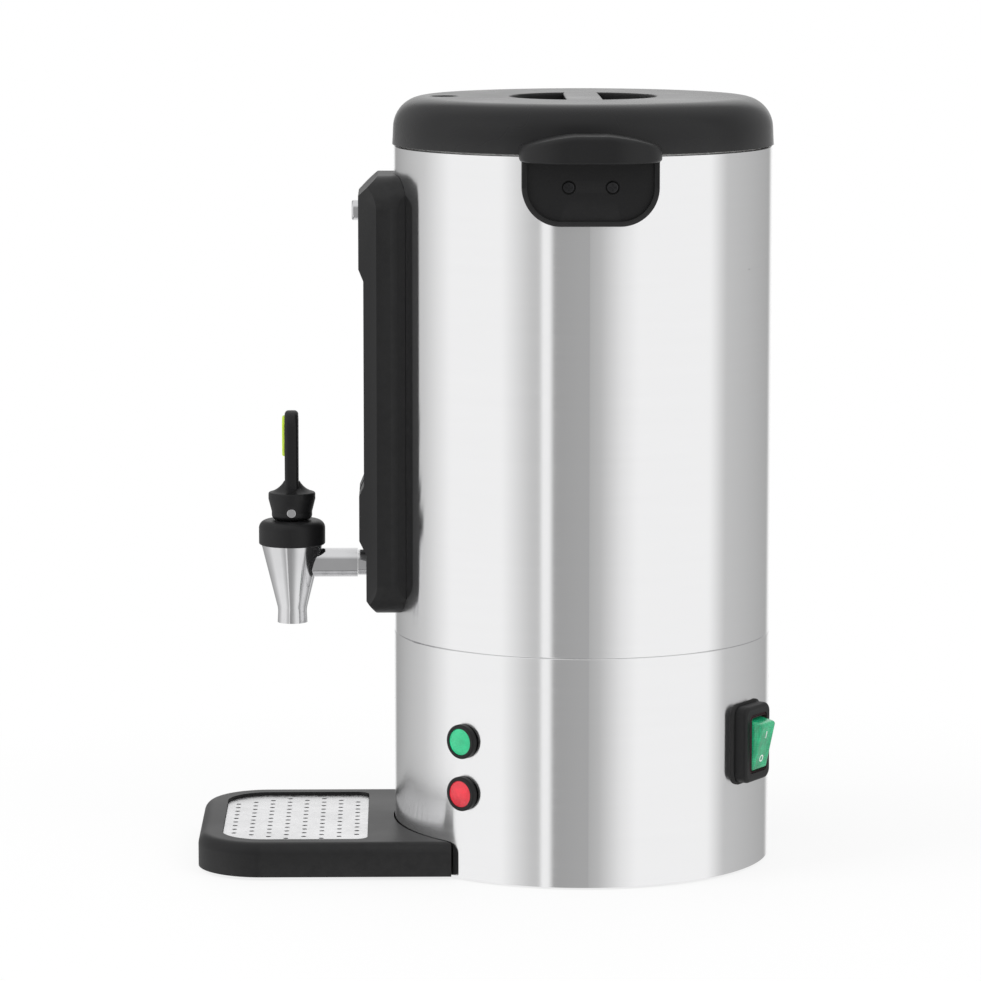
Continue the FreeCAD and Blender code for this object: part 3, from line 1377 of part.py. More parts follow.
def make_seat_cup():
    """The silicone cup that closes the throat: it wraps the stem's flange."""
    low = SEAT_HEIGHT
    flange = low + 2
    cup = turned("seat_cup", [
        (0, low), (S.cup_radius, low), (S.cup_radius, low + S.cup_tall),
        (S.rod_radius + 0.1, low + S.cup_tall), (S.rod_radius + 0.1, flange + 2.1),
        (S.cup_radius - 2.9, flange + 2.1), (S.cup_radius - 2.9, flange - 0.1), (0, flange - 0.1)])
    return place(cup, (0, -TAP_PLACE, 0))


SPRING_LOW = SEAT_HEIGHT + S.cup_tall + S.spring_wire
SPRING_HIGH = CONE_TOP + 5 - S.spring_wire - 0.2


def make_tap_spring():
    """The coil that pushes the cup on its seat."""
    helix = named("Part::Helix", "spring_line")
    bind(helix, "Pitch", S.spring_pitch)
    bind(helix, "Height", SPRING_HIGH - SPRING_LOW)
    bind(helix, "Radius", S.spring_radius)
    wire = named("Part::Circle", "spring_section")
    bind(wire, "Radius", S.spring_wire)
    place(wire, (S.spring_radius, 0, 0), TO_FRONT)
    doc.recompute()
    coil = named("Part::Sweep", "tap_spring")
    coil.Sections = [wire]
    coil.Spine = (helix, ["Edge1"])
    coil.Solid = True
    coil.Frenet = True
    doc.recompute()
    turns = SPRING_HIGH.value - SPRING_LOW.value
    loop = math.hypot(2 * math.pi * S.spring_radius.value, S.spring_pitch.value)
    length = turns / S.spring_pitch.value * loop
    expected = length * math.pi * S.spring_wire.value**2
    if abs(coil.Shape.Volume - expected) > 0.05 * expected:
        raise RuntimeError("tap_spring: the coil's volume is off")
    return place(coil, (0, -TAP_PLACE, SPRING_LOW))


def make_lever_pin():
    reach = S.boss_low_radius + S.pin_proud
    pin = turned("lever_pin", [(0, -reach), (S.pin_radius, -reach), (S.pin_radius, reach), (0, reach)])
    round_edges(pin, 0.4, lambda e: isinstance(e.Curve, Part.Circle))
    return place(pin, (0, -TAP_PLACE, PIN_HEIGHT), outward(0))


def make_lever():
    """A round boss that rocks on the bonnet, with a flat paddle on top."""
    low = BONNET_TOP + S.seat_gap
    neck_top = COLLAR_HEIGHT + 7
    boss = turned("lever_boss", [
        (0, low), (S.boss_low_radius, low), (S.boss_low_radius, low + 5),
        (S.boss_collar_radius, COLLAR_HEIGHT - 4), (S.boss_collar_radius, COLLAR_HEIGHT),
        (S.blade_thick / 2 + 0.6, neck_top), (0, neck_top)], {4: -Size.of(14.0)})
    round_edges(boss, S.boss_round, circle_at(S.boss_low_radius, low))
    round_edges(boss, 1.2, circle_at(S.boss_collar_radius, COLLAR_HEIGHT))
    place(boss, (0, -TAP_PLACE, 0))
    blade = new_body("lever_blade")
    half = S.blade_wide / 2
    foot = COLLAR_HEIGHT - 4
    waist = half * 0.72
    shape = [(-waist, foot), (waist, foot), (half, BLADE_TOP - half), (-half, BLADE_TOP - half)]
    pad(blade, "XZ", S.blade_thick, -S.blade_thick / 2, (shape, {2: half + 0.001}))
    doc.recompute()
    thick = S.blade_thick.value / 2
    round_edges(blade, 2.4, lambda e: abs(abs(e.BoundBox.YMin) - thick) < 1e-4
                and e.BoundBox.YLength < 1e-3 and e.BoundBox.ZMax > foot.value + 1)
    place(blade, (0, -TAP_PLACE, 0))
    solid = fuse("lever_solid", [boss, blade])
    fit = S.rod_radius + S.seat_gap
    swing = S.rod_radius + 2.8
    slot = box("lever_slot", (-fit, -TAP_PLACE - swing, low - 1),
               (fit, -TAP_PLACE + swing, ROD_TOP + 2))
    bore = rod("lever_bore", S.pin_radius + S.slide_fit, 60, (-30, -TAP_PLACE, PIN_HEIGHT), outward(0))
    inset = rod("lever_inset", S.inlay_wide / 2 + S.screw_fit, 1.5,
                (0, -TAP_PLACE - S.blade_thick / 2 + 1, INLAY_CENTRE_HIGH), TO_FRONT)
    return cut("tap_lever", solid, [slot, bore, inset])


INLAY_CENTRE_HIGH = INLAY_HIGH - S.inlay_wide / 2


def make_lever_inlay():
    """The coloured pad on the paddle's front, with a domed face."""
    half = S.inlay_wide / 2
    pad_body = new_body("lever_inlay")
    narrow = half - 1
    outline = [(-narrow, INLAY_LOW), (narrow, INLAY_LOW), (half, INLAY_CENTRE_HIGH),
               (-half, INLAY_CENTRE_HIGH)]
    start = TAP_PLACE + S.blade_thick / 2
    pad(pad_body, "XZ", S.inlay_proud, start + S.screw_fit / 2, (outline, {2: half + 0.001}))
    front = -(start + S.inlay_proud + S.screw_fit / 2).value
    doc.recompute()
    round_edges(pad_body, 1.2, lambda e: abs(e.BoundBox.YMin - front) < 1e-4 and e.BoundBox.YLength < 1e-3)
    return pad_body


# The drip tray

TRAY_INNER = BASE_RADIUS + S.tray_gap
WELL_FLOOR = S.tray_tall - S.tray_well
GRID_TOP = S.tray_tall - S.grid_drop
GRID_LOW = GRID_TOP - S.grid_wall


def tray_outline(inset, low_corner):
    """The tray from above: round front corners, straight sides, open at the back."""
    front = TRAY_FRONT - inset
    half = S.tray_half - inset
    corner = low_corner
    points = [(-half + corner, -front), (half - corner, -front), (half, -front + corner),
              (half, -TRAY_BACK), (-half, -TRAY_BACK), (-half, -front + corner)]
    return points, {1: corner, 5: corner}


def grid_outline(grow):
    """The grid from above: its back edge is round, so that it follows the base."""
    half = S.tray_half - S.grid_inset + grow
    front = TRAY_FRONT - S.grid_inset + grow
    corner = S.grid_corner
    small = S.grid_corner * 0.3
    back = GRID_BACK - grow
    points = [(-half + corner, -front), (half - corner, -front), (half, -front + corner),
              (half, -back - small), (half - small, -back), (-half + small, -back),
              (-half, -back - small), (-half, -front + corner)]
    return points, {1: corner, 3: small, 5: small, 7: corner}


def make_tray():
    """A shallow dish that hugs the base, with a ledge inside for the grid."""
    body = new_body("drip_tray")
    pad(body, "XY", S.tray_tall - S.tray_lift, S.tray_lift, tray_outline(Size.of(0), S.tray_corner))
    top = S.tray_tall.value
    back = -TRAY_BACK.value
    round_edges(body, S.tray_edge, lambda e: e.BoundBox.ZMin > top - 1e-4 and e.BoundBox.YMin < back - 1)
    pocket(body, "XY", S.tray_tall, S.tray_lift - 1, circle=TRAY_INNER)
    pocket(body, "XY", S.grid_drop + S.grid_wall + S.screw_fit + 1, GRID_LOW - S.screw_fit,
           grid_outline(S.seat_gap))
    pocket(body, "XY", S.tray_well + 1, WELL_FLOOR, grid_outline(-S.tray_ledge))
    return body


def make_tray_feet():
    feet = []
    for x, y in ((-1, 1), (1, 1), (-1, 0), (1, 0)):
        at = (x * (S.tray_half - 20), -TRAY_FRONT + 32 if y else -(TRAY_BACK + 30), 0)
        feet.append(rod(f"tray_foot_{len(feet)}", S.tray_foot_radius, S.tray_lift, at))
    return group("tray_feet", feet)


def make_grid():
    """A steel plate with staggered rows of round drain holes."""
    plate = new_body("grid_plate")
    pad(plate, "XY", S.grid_wall, GRID_LOW, grid_outline(Size.of(0)))
    pins = []
    rows = 8
    middle = (GRID_BACK + TRAY_FRONT - S.grid_inset) / 2
    for row_number in range(rows):
        shifted = row_number % 2
        count = 11 + shifted
        y = -middle + (row_number - (rows - 1) / 2) * S.hole_pitch * 0.98
        for column in range(count):
            x = (column - (count - 1) / 2) * S.hole_pitch
            edge_row = row_number in (0, 1, rows - 1)
            if edge_row and column in (0, count - 1):
                continue
            pins.append(rod(f"drain_{len(pins)}", S.hole_radius, S.grid_wall + 2, (x, y, GRID_LOW - 1)))
    return cut("drip_grid", plate, pins)


PIECES = [
    make_base_shell(),
    make_base_plate(),
    make_feet(),
    make_stays(),
    make_base_screws(),
    make_heat_spreader(),
    make_element("boil_element", BOIL_RING_RADIUS, 0),
    make_element("warm_element", S.warm_ring_radius, 180),
    make_thermostat(),
    make_cutout(),
    make_reset_button(),
    make_terminal_block(),
    make_gland(),
    make_gland_nut(),
    make_bezel("red", S.lamp_low),
    make_bezel("green", S.lamp_high),
    make_lens("red", S.lamp_low),
    make_lens("green", S.lamp_high),
    make_lamp_nuts(),
    make_switch_gasket(),
    make_switch_housing(),
    make_switch_boot(),
    make_rocker(),
    make_tank(),
    make_lid_shell(),
    make_lid_cup(),
    make_lid_liner(),
    make_lid_seal(),
    make_lid_screws(),
    make_lid_vent(),
    make_pump_foot(),
    make_riser(),
    make_pump_valve(),
    make_basket(),
    make_basket_cover(),
    make_handle("handle_right", 0),
    make_handle("handle_left", 180),
    make_handle_brackets(),
    make_handle_screws(),
    make_column_front(),
    make_column_back(),
    make_sight_glass(),
    make_glass_seals(),
    make_gauge_tee(),
    make_gauge_cap(),
    make_cap_screw(),
    make_tap_shank(),
    make_tap_nut(),
    make_tap_washer(),
    make_tap_body(),
    make_tap_bonnet(),
    make_tap_stem(),
    make_seat_cup(),
    make_tap_spring(),
    make_lever_pin(),
    make_lever(),
    make_lever_inlay(),
    make_tray(),
    make_tray_feet(),
    make_grid(),
]

doc.recompute()
for thing in doc.Objects:
    if "Invalid" in thing.State or "Error" in thing.State:
        raise RuntimeError(f"{thing.Label} is {thing.State}")
for piece in PIECES:
    if piece.Shape.isNull() or not piece.Shape.isValid() or not piece.Shape.Solids:
        raise RuntimeError(f"{piece.Label} has no valid solid")

os.makedirs("parts", exist_ok=True)
for piece in PIECES:
    piece.Shape.exportStep(f"parts/{piece.Label}.step")
print(f"{len(PIECES)} pieces written")
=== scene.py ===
import json
import math

import bmesh
import bpy
import numpy as np
from mathutils import Matrix


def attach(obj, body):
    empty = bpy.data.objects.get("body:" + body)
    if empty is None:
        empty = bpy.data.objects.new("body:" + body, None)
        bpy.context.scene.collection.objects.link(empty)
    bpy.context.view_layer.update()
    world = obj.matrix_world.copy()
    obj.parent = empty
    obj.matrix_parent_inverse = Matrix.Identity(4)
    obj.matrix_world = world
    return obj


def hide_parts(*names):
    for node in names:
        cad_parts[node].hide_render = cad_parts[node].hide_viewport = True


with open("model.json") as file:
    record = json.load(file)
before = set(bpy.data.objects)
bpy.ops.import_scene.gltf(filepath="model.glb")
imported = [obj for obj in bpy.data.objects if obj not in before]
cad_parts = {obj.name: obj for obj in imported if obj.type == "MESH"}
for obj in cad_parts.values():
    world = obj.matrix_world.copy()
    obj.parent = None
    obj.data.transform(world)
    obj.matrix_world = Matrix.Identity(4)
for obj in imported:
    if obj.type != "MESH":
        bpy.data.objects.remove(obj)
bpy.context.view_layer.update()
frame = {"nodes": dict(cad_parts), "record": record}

bl_info = {
    "name": "Coffee Urn Finish",
    "version": (1, 0, 0),
    "blender": (4, 5, 0),
    "location": "3D View > Sidebar > Urn",
    "description": "Finishes a steel coffee urn: brushed shells, moulded plastic, lamps, switch and tap",
    "category": "Object",
}

UP = np.array([0, 0, 1.0])
PICTURE_PIXELS = 981
SENSOR_WIDTH = 0.036


def points_of(node):
    """Every point of a construction piece, as an array of places in the frame."""
    piece = frame["nodes"][node]
    flat = np.empty(len(piece.data.vertices) * 3)
    piece.data.vertices.foreach_get("co", flat)
    turn = np.array(piece.matrix_world)
    return flat.reshape(-1, 3) @ turn[:3, :3].T + turn[:3, 3]


def outward(azimuth):
    """The level direction away from the axis at an azimuth in degrees."""
    turn = math.radians(azimuth)
    return np.array([math.cos(turn), math.sin(turn), 0])


def reach(node, direction):
    """The nearest and the farthest that a piece reaches along a direction."""
    along = points_of(node) @ direction
    return along.min(), along.max()


# The settings that someone would change


class UrnColours(bpy.types.PropertyGroup):
    steel: bpy.props.FloatVectorProperty(
        name="Steel", description="Colour of the brushed sheet", subtype="COLOR", size=3,
        min=0, max=1, default=(0.88, 0.88, 0.885))
    plastic: bpy.props.FloatVectorProperty(
        name="Black plastic", description="Colour of the moulded parts", subtype="COLOR", size=3,
        min=0, max=1, default=(0.010, 0.010, 0.0105))
    green: bpy.props.FloatVectorProperty(
        name="Green light", description="Colour of the green lamp and the rocker", subtype="COLOR",
        size=3, min=0, max=1, default=(0.012, 0.36, 0.16))
    red: bpy.props.FloatVectorProperty(
        name="Red light", description="Colour of the red lamp", subtype="COLOR", size=3,
        min=0, max=1, default=(0.52, 0.015, 0.03))
    lime: bpy.props.FloatVectorProperty(
        name="Lever inlay", description="Colour of the pad on the tap's lever", subtype="COLOR",
        size=3, min=0, max=1, default=(0.50, 0.68, 0.04))


class UrnStage(bpy.types.PropertyGroup):
    distance: bpy.props.FloatProperty(
        name="Distance", description="From the tank's axis to the camera, along the floor",
        default=2.857, min=0.5, unit="LENGTH", subtype="DISTANCE")
    height: bpy.props.FloatProperty(
        name="Height", description="Of the camera above the floor", default=0.6132,
        unit="LENGTH", subtype="DISTANCE")
    azimuth: bpy.props.FloatProperty(
        name="Azimuth", description="Where the camera stands round the urn, from +X towards +Y",
        default=math.radians(-2.2), subtype="ANGLE", unit="ROTATION")
    pitch: bpy.props.FloatProperty(
        name="Pitch", description="How far the camera looks down", default=0.1346,
        subtype="ANGLE", unit="ROTATION")
    turn: bpy.props.FloatProperty(
        name="Turn", description="How far the camera looks to the left of the axis",
        default=math.radians(1.135), subtype="ANGLE", unit="ROTATION")
    focal_pixels: bpy.props.FloatProperty(
        name="Focal length", description="In pixels of the square picture", default=4658.0, min=100)
    room: bpy.props.FloatProperty(
        name="Room light", description="Strength of the studio's white walls", default=0.98, min=0)


# Surfaces worked out as grids of points


def add_mesh(name, points, faces, body, material, smooth_angle=35.0):
    """Makes an object from points and faces, merged and turned outwards, and puts it on a body."""
    mesh = bpy.data.meshes.new(name)
    mesh.from_pydata(points.tolist(), [], faces)
    work = bmesh.new()
    work.from_mesh(mesh)
    bmesh.ops.remove_doubles(work, verts=work.verts, dist=1e-7)
    bmesh.ops.recalc_face_normals(work, faces=work.faces)
    work.to_mesh(mesh)
    work.free()
    mesh.polygons.foreach_set("use_smooth", np.ones(len(mesh.polygons), dtype=bool))
    mesh.set_sharp_from_angle(angle=math.radians(smooth_angle))
    mesh.materials.append(MATERIALS[material])
    piece = bpy.data.objects.new(name, mesh)
    bpy.context.scene.collection.objects.link(piece)
    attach(piece, body)
    return piece


def grid_faces(rows, columns, wrap_rows, wrap_columns):
    """The four-sided faces of a grid of points, row by row, joined round where it wraps."""
    row = np.arange(rows if wrap_rows else rows - 1)
    column = np.arange(columns if wrap_columns else columns - 1)
    a, b = (part.ravel() for part in np.meshgrid(row, column, indexing="ij"))
    c, d = (a + 1) % rows, (b + 1) % columns
    return np.stack([a * columns + b, a * columns + d, c * columns + d, c * columns + b], axis=1)


def rounded_outline(half_wide, half_tall, corner, steps=10):
    """Points round a box with rounded corners, at even turns of each corner's arc."""
    angle = np.linspace(0, math.pi / 2, steps + 1)
    turns = angle[None, :] + np.arange(4)[:, None] * math.pi / 2
    signs = np.array([(1, 1), (-1, 1), (-1, -1), (1, -1)], dtype=float)
    middle = signs * (half_wide - corner, half_tall - corner)
    arcs = middle[:, None, :] + corner * np.stack([np.cos(turns), np.sin(turns)], axis=-1)
    return arcs.reshape(-1, 2)


def stacked(half_wide, half_tall, corner, profile, centre, out, side, up):
    """A rounded box as loops: each (inset, height) draws the outline inset by so much, so far out.

    P(i, j) = centre + x_i(inset_j) side + y_i(inset_j) up + height_j out
    """
    loops = []
    for inset, height in profile:
        small = max(corner - inset, 0.0002)
        outline = rounded_outline(half_wide - inset, half_tall - inset, small)
        loops.append(centre + outline[:, :1] * side + outline[:, 1:] * up + height * out)
    return np.array(loops)


def add_stack(name, loops, body, material, closed=False):
    """The surface through a stack of loops: a ring where it is closed, otherwise capped flat."""
    rows, columns = loops.shape[:2]
    faces = grid_faces(rows, columns, closed, True).tolist()
    if not closed:
        faces += [list(range(columns))[::-1], list(range((rows - 1) * columns, rows * columns))]
    return add_mesh(name, loops.reshape(-1, 3), faces, body, material)


# Node groups that several finishes share


def new_group(name, inputs, outputs):
    """An empty shader group with named sockets, given as (kind, name, default)."""
    group = bpy.data.node_groups.new(name, "ShaderNodeTree")
    for side, sockets in (("INPUT", inputs), ("OUTPUT", outputs)):
        for kind, title, default in sockets:
            socket = group.interface.new_socket(title, in_out=side, socket_type="NodeSocket" + kind)
            if default is not None:
                socket.default_value = default
    return group, group.nodes.new("NodeGroupInput"), group.nodes.new("NodeGroupOutput")


def math_node(tree, operation, first, second=None, third=None, clamp=False):
    """One sum on numbers or on the outputs of other nodes."""
    node = tree.nodes.new("ShaderNodeMath")
    node.operation = operation
    node.use_clamp = clamp
    for socket, value in zip(node.inputs, (first, second, third)):
        if value is None:
            continue
        if isinstance(value, bpy.types.NodeSocket):
            tree.links.new(value, socket)
        else:
            socket.default_value = value
    return node.outputs[0]


def noise_node(tree, vector, scale, detail=2.0, roughness=0.5):
    """Soft noise from 0 to 1 at a vector."""
    node = tree.nodes.new("ShaderNodeTexNoise")
    node.inputs["Scale"].default_value = scale
    node.inputs["Detail"].default_value = detail
    node.inputs["Roughness"].default_value = roughness
    tree.links.new(vector, node.inputs["Vector"])
    return node.outputs["Fac"]


def stretch_node(tree, vector, scale):
    """A vector with each of its parts scaled."""
    node = tree.nodes.new("ShaderNodeMapping")
    node.inputs["Scale"].default_value = scale
    tree.links.new(vector, node.inputs["Vector"])
    return node.outputs["Vector"]


def map_range(tree, value, low, high, new_low, new_high):
    """A value moved from one range to another, and held inside it."""
    node = tree.nodes.new("ShaderNodeMapRange")
    tree.links.new(value, node.inputs["Value"])
    for title, number in (("From Min", low), ("From Max", high), ("To Min", new_low), ("To Max", new_high)):
        if isinstance(number, bpy.types.NodeSocket):
            tree.links.new(number, node.inputs[title])
        else:
            node.inputs[title].default_value = number
    return node.outputs["Result"]


def make_brushed_group():
    """Fine lines round the axis: noise that is long round the tank and short up it.

    The vector becomes (angle, 0, height), and then noise is read at two scales.
    """
    group, start, end = new_group(
        "brushed_lines",
        [("Vector", "Vector", None), ("Float", "Shade Depth", 0.05), ("Float", "Roughness", 0.24)],
        [("Float", "Shade", None), ("Float", "Roughness", None), ("Float", "Height", None)])
    parts = group.nodes.new("ShaderNodeSeparateXYZ")
    group.links.new(start.outputs["Vector"], parts.inputs[0])
    angle = math_node(group, "ARCTAN2", parts.outputs["Y"], parts.outputs["X"])
    joined = group.nodes.new("ShaderNodeCombineXYZ")
    group.links.new(angle, joined.inputs["X"])
    group.links.new(parts.outputs["Z"], joined.inputs["Z"])
    fine = noise_node(group, stretch_node(group, joined.outputs[0], (2.2, 1.0, 2600.0)), 1.0, 3.0, 0.6)
    broad = noise_node(group, stretch_node(group, joined.outputs[0], (0.9, 1.0, 260.0)), 1.0, 2.0)
    mixed = math_node(group, "ADD", math_node(group, "MULTIPLY", fine, 0.65),
                      math_node(group, "MULTIPLY", broad, 0.35))
    centred = math_node(group, "SUBTRACT", mixed, 0.5)
    shade = math_node(group, "ADD", math_node(group, "MULTIPLY", centred, start.outputs["Shade Depth"]), 1.0)
    rough = math_node(group, "ADD", math_node(group, "MULTIPLY", centred, 0.22), start.outputs["Roughness"],
                      clamp=True)
    group.links.new(shade, end.inputs["Shade"])
    group.links.new(rough, end.inputs["Roughness"])
    group.links.new(mixed, end.inputs["Height"])
    return group


def make_grain_group():
    """The fine spark-eroded grain of moulded plastic, with slow patches of handling wear."""
    group, start, end = new_group(
        "moulded_grain",
        [("Vector", "Vector", None), ("Float", "Grain Scale", 900.0), ("Float", "Roughness", 0.42)],
        [("Float", "Shade", None), ("Float", "Roughness", None), ("Float", "Height", None)])
    cells = group.nodes.new("ShaderNodeTexVoronoi")
    group.links.new(start.outputs["Vector"], cells.inputs["Vector"])
    group.links.new(start.outputs["Grain Scale"], cells.inputs["Scale"])
    patches = noise_node(group, start.outputs["Vector"], 14.0, 3.0)
    speckle = noise_node(group, start.outputs["Vector"], 380.0, 2.0)
    height = math_node(group, "ADD", cells.outputs["Distance"], math_node(group, "MULTIPLY", speckle, 0.5))
    centred = math_node(group, "SUBTRACT", patches, 0.5)
    shade = math_node(group, "ADD", math_node(group, "MULTIPLY", centred, 0.30), 1.0)
    rough = math_node(group, "ADD", math_node(group, "MULTIPLY", centred, 0.16), start.outputs["Roughness"],
                      clamp=True)
    group.links.new(shade, end.inputs["Shade"])
    group.links.new(rough, end.inputs["Roughness"])
    group.links.new(height, end.inputs["Height"])
    return group


def make_wear_group():
    """A mask of fine rubbing on edges and high spots: pointed places broken up by noise."""
    group, start, end = new_group(
        "edge_wear", [("Vector", "Vector", None), ("Float", "Amount", 0.5)], [("Float", "Mask", None)])
    shape = group.nodes.new("ShaderNodeNewGeometry")
    edge = map_range(group, shape.outputs["Pointiness"], 0.52, 0.62, 0.0, 1.0)
    broken = noise_node(group, start.outputs["Vector"], 160.0, 4.0, 0.7)
    rubbed = math_node(group, "MULTIPLY", edge, broken)
    mask = math_node(group, "MULTIPLY", rubbed, start.outputs["Amount"], clamp=True)
    group.links.new(mask, end.inputs["Mask"])
    return group


GROUPS = {}


def group_node(tree, name, vector, **values):
    """A shared group in a material, with its named inputs set."""
    node = tree.nodes.new("ShaderNodeGroup")
    node.node_tree = GROUPS[name]
    tree.links.new(vector, node.inputs["Vector"])
    for title, value in values.items():
        node.inputs[title.replace("_", " ")].default_value = value
    return node


# Finishes


def new_material(name):
    """A material with its shader, and the object coordinates that its pattern reads."""
    material = bpy.data.materials.new(name)
    material.use_nodes = True
    tree = material.node_tree
    shader = tree.nodes["Principled BSDF"]
    coordinates = tree.nodes.new("ShaderNodeTexCoord").outputs["Object"]
    return material, tree, shader, coordinates


def tint(tree, shader, colour, shade, mask=None, worn=None):
    """Base colour times a shade, mixed with a worn colour where a mask says so."""
    mix = tree.nodes.new("ShaderNodeVectorMath")
    mix.operation = "SCALE"
    mix.inputs[0].default_value = colour
    tree.links.new(shade, mix.inputs["Scale"])
    result = mix.outputs[0]
    if mask is not None:
        blend = tree.nodes.new("ShaderNodeMix")
        blend.data_type = "RGBA"
        tree.links.new(mask, blend.inputs["Factor"])
        tree.links.new(result, blend.inputs["A"])
        blend.inputs["B"].default_value = (*worn, 1.0)
        result = blend.outputs["Result"]
    tree.links.new(result, shader.inputs["Base Color"])


def bump(tree, shader, height, distance, strength):
    """Small relief from a height pattern."""
    node = tree.nodes.new("ShaderNodeBump")
    node.inputs["Strength"].default_value = strength
    node.inputs["Distance"].default_value = distance
    tree.links.new(height, node.inputs["Height"])
    tree.links.new(node.outputs["Normal"], shader.inputs["Normal"])


def brushed_steel(name, colour, roughness=0.15, depth=0.08, anisotropy=0.95):
    """Sheet steel with a grain round the axis, which draws reflections out up and down."""
    material, tree, shader, coordinates = new_material(name)
    grain = group_node(tree, "brushed_lines", coordinates, Shade_Depth=depth, Roughness=roughness)
    tint(tree, shader, colour, grain.outputs["Shade"])
    tree.links.new(grain.outputs["Roughness"], shader.inputs["Roughness"])
    bump(tree, shader, grain.outputs["Height"], 0.00002, 0.35)
    shader.inputs["Metallic"].default_value = 1.0
    shader.inputs["Anisotropic"].default_value = anisotropy
    shader.inputs["Anisotropic Rotation"].default_value = 0.25
    tangent = tree.nodes.new("ShaderNodeTangent")
    tangent.direction_type = "RADIAL"
    tangent.axis = "Z"
    tree.links.new(tangent.outputs[0], shader.inputs["Tangent"])
    return material


def plain_metal(name, colour, roughness, scale=300.0, depth=0.12):
    """Turned or polished metal, faintly mottled and scratched."""
    material, tree, shader, coordinates = new_material(name)
    mottle = noise_node(tree, coordinates, scale, 4.0, 0.6)
    patches = noise_node(tree, coordinates, scale * 0.12, 2.0)
    shade = map_range(tree, patches, 0.3, 0.7, 1.0 - depth, 1.0)
    tint(tree, shader, colour, shade)
    tree.links.new(map_range(tree, mottle, 0.3, 0.7, roughness * 0.75, roughness * 1.3),
                   shader.inputs["Roughness"])
    bump(tree, shader, mottle, 0.00001, 0.4)
    shader.inputs["Metallic"].default_value = 1.0
    return material


def moulded_plastic(name, colour, roughness=0.42, grain=900.0, bump_depth=0.00006, worn=(0.05, 0.05, 0.05)):
    """Satin moulded plastic with a fine grain, and paler rubbed edges."""
    material, tree, shader, coordinates = new_material(name)
    texture = group_node(tree, "moulded_grain", coordinates, Grain_Scale=grain, Roughness=roughness)
    wear = group_node(tree, "edge_wear", coordinates, Amount=0.5)
    tint(tree, shader, colour, texture.outputs["Shade"], wear.outputs["Mask"], worn)
    tree.links.new(texture.outputs["Roughness"], shader.inputs["Roughness"])
    bump(tree, shader, texture.outputs["Height"], bump_depth, 0.5)
    shader.inputs["Specular IOR Level"].default_value = 0.28
    return material


def soft_rubber(name, colour, roughness):
    """Dull rubber, silicone or ceramic with a little dust in its pores."""
    material, tree, shader, coordinates = new_material(name)
    dust = noise_node(tree, coordinates, 240.0, 5.0, 0.65)
    tint(tree, shader, colour, map_range(tree, dust, 0.3, 0.7, 0.75, 1.35))
    tree.links.new(map_range(tree, dust, 0.3, 0.7, roughness - 0.1, roughness + 0.15),
                   shader.inputs["Roughness"])
    bump(tree, shader, dust, 0.00005, 0.5)
    return material


def lit_plastic(name, colour, glow, prism=2200.0, roughness=0.16):
    """Tinted translucent plastic with rows of small prisms inside, lit faintly from behind, with a painted
    glint in the middle of each prism and painted shade at its rim.
    """
    material, tree, shader, coordinates = new_material(name)
    cells = tree.nodes.new("ShaderNodeTexVoronoi")
    cells.distance = "CHEBYCHEV"
    cells.inputs["Scale"].default_value = prism
    cells.inputs["Randomness"].default_value = 0.15
    tree.links.new(coordinates, cells.inputs["Vector"])
    cloud = noise_node(tree, coordinates, 120.0, 3.0)
    # Painted light: each prism is painted brighter in its middle (a painted glint) and darker at its rim
    # (painted shade); the cloud multiplied in is random tone.
    prism_glint_and_shade = map_range(tree, cells.outputs["Distance"], 0.0, 0.7, 1.5, 0.6)
    shade = math_node(tree, "MULTIPLY", prism_glint_and_shade, map_range(tree, cloud, 0.3, 0.7, 0.75, 1.3))
    tint(tree, shader, colour, shade)
    bump(tree, shader, cells.outputs["Distance"], 0.0003, 0.5)
    shader.inputs["Roughness"].default_value = roughness
    shader.inputs["Coat Weight"].default_value = 0.6
    shader.inputs["Coat Roughness"].default_value = 0.05
    shader.inputs["Subsurface Weight"].default_value = 0.15
    shader.inputs["Subsurface Radius"].default_value = (0.004, 0.004, 0.004)
    shader.inputs["Subsurface Scale"].default_value = 0.4
    shader.inputs["Emission Color"].default_value = (*colour, 1.0)
    shader.inputs["Emission Strength"].default_value = glow
    return material


def clear_glass(name, colour):
    """Clear glass with faint smears."""
    material, tree, shader, coordinates = new_material(name)
    smears = noise_node(tree, coordinates, 60.0, 3.0)
    tree.links.new(map_range(tree, smears, 0.35, 0.7, 0.01, 0.07), shader.inputs["Roughness"])
    shader.inputs["Base Color"].default_value = (*colour, 1.0)
    shader.inputs["Transmission Weight"].default_value = 1.0
    shader.inputs["IOR"].default_value = 1.47
    return material


MATERIALS = {}


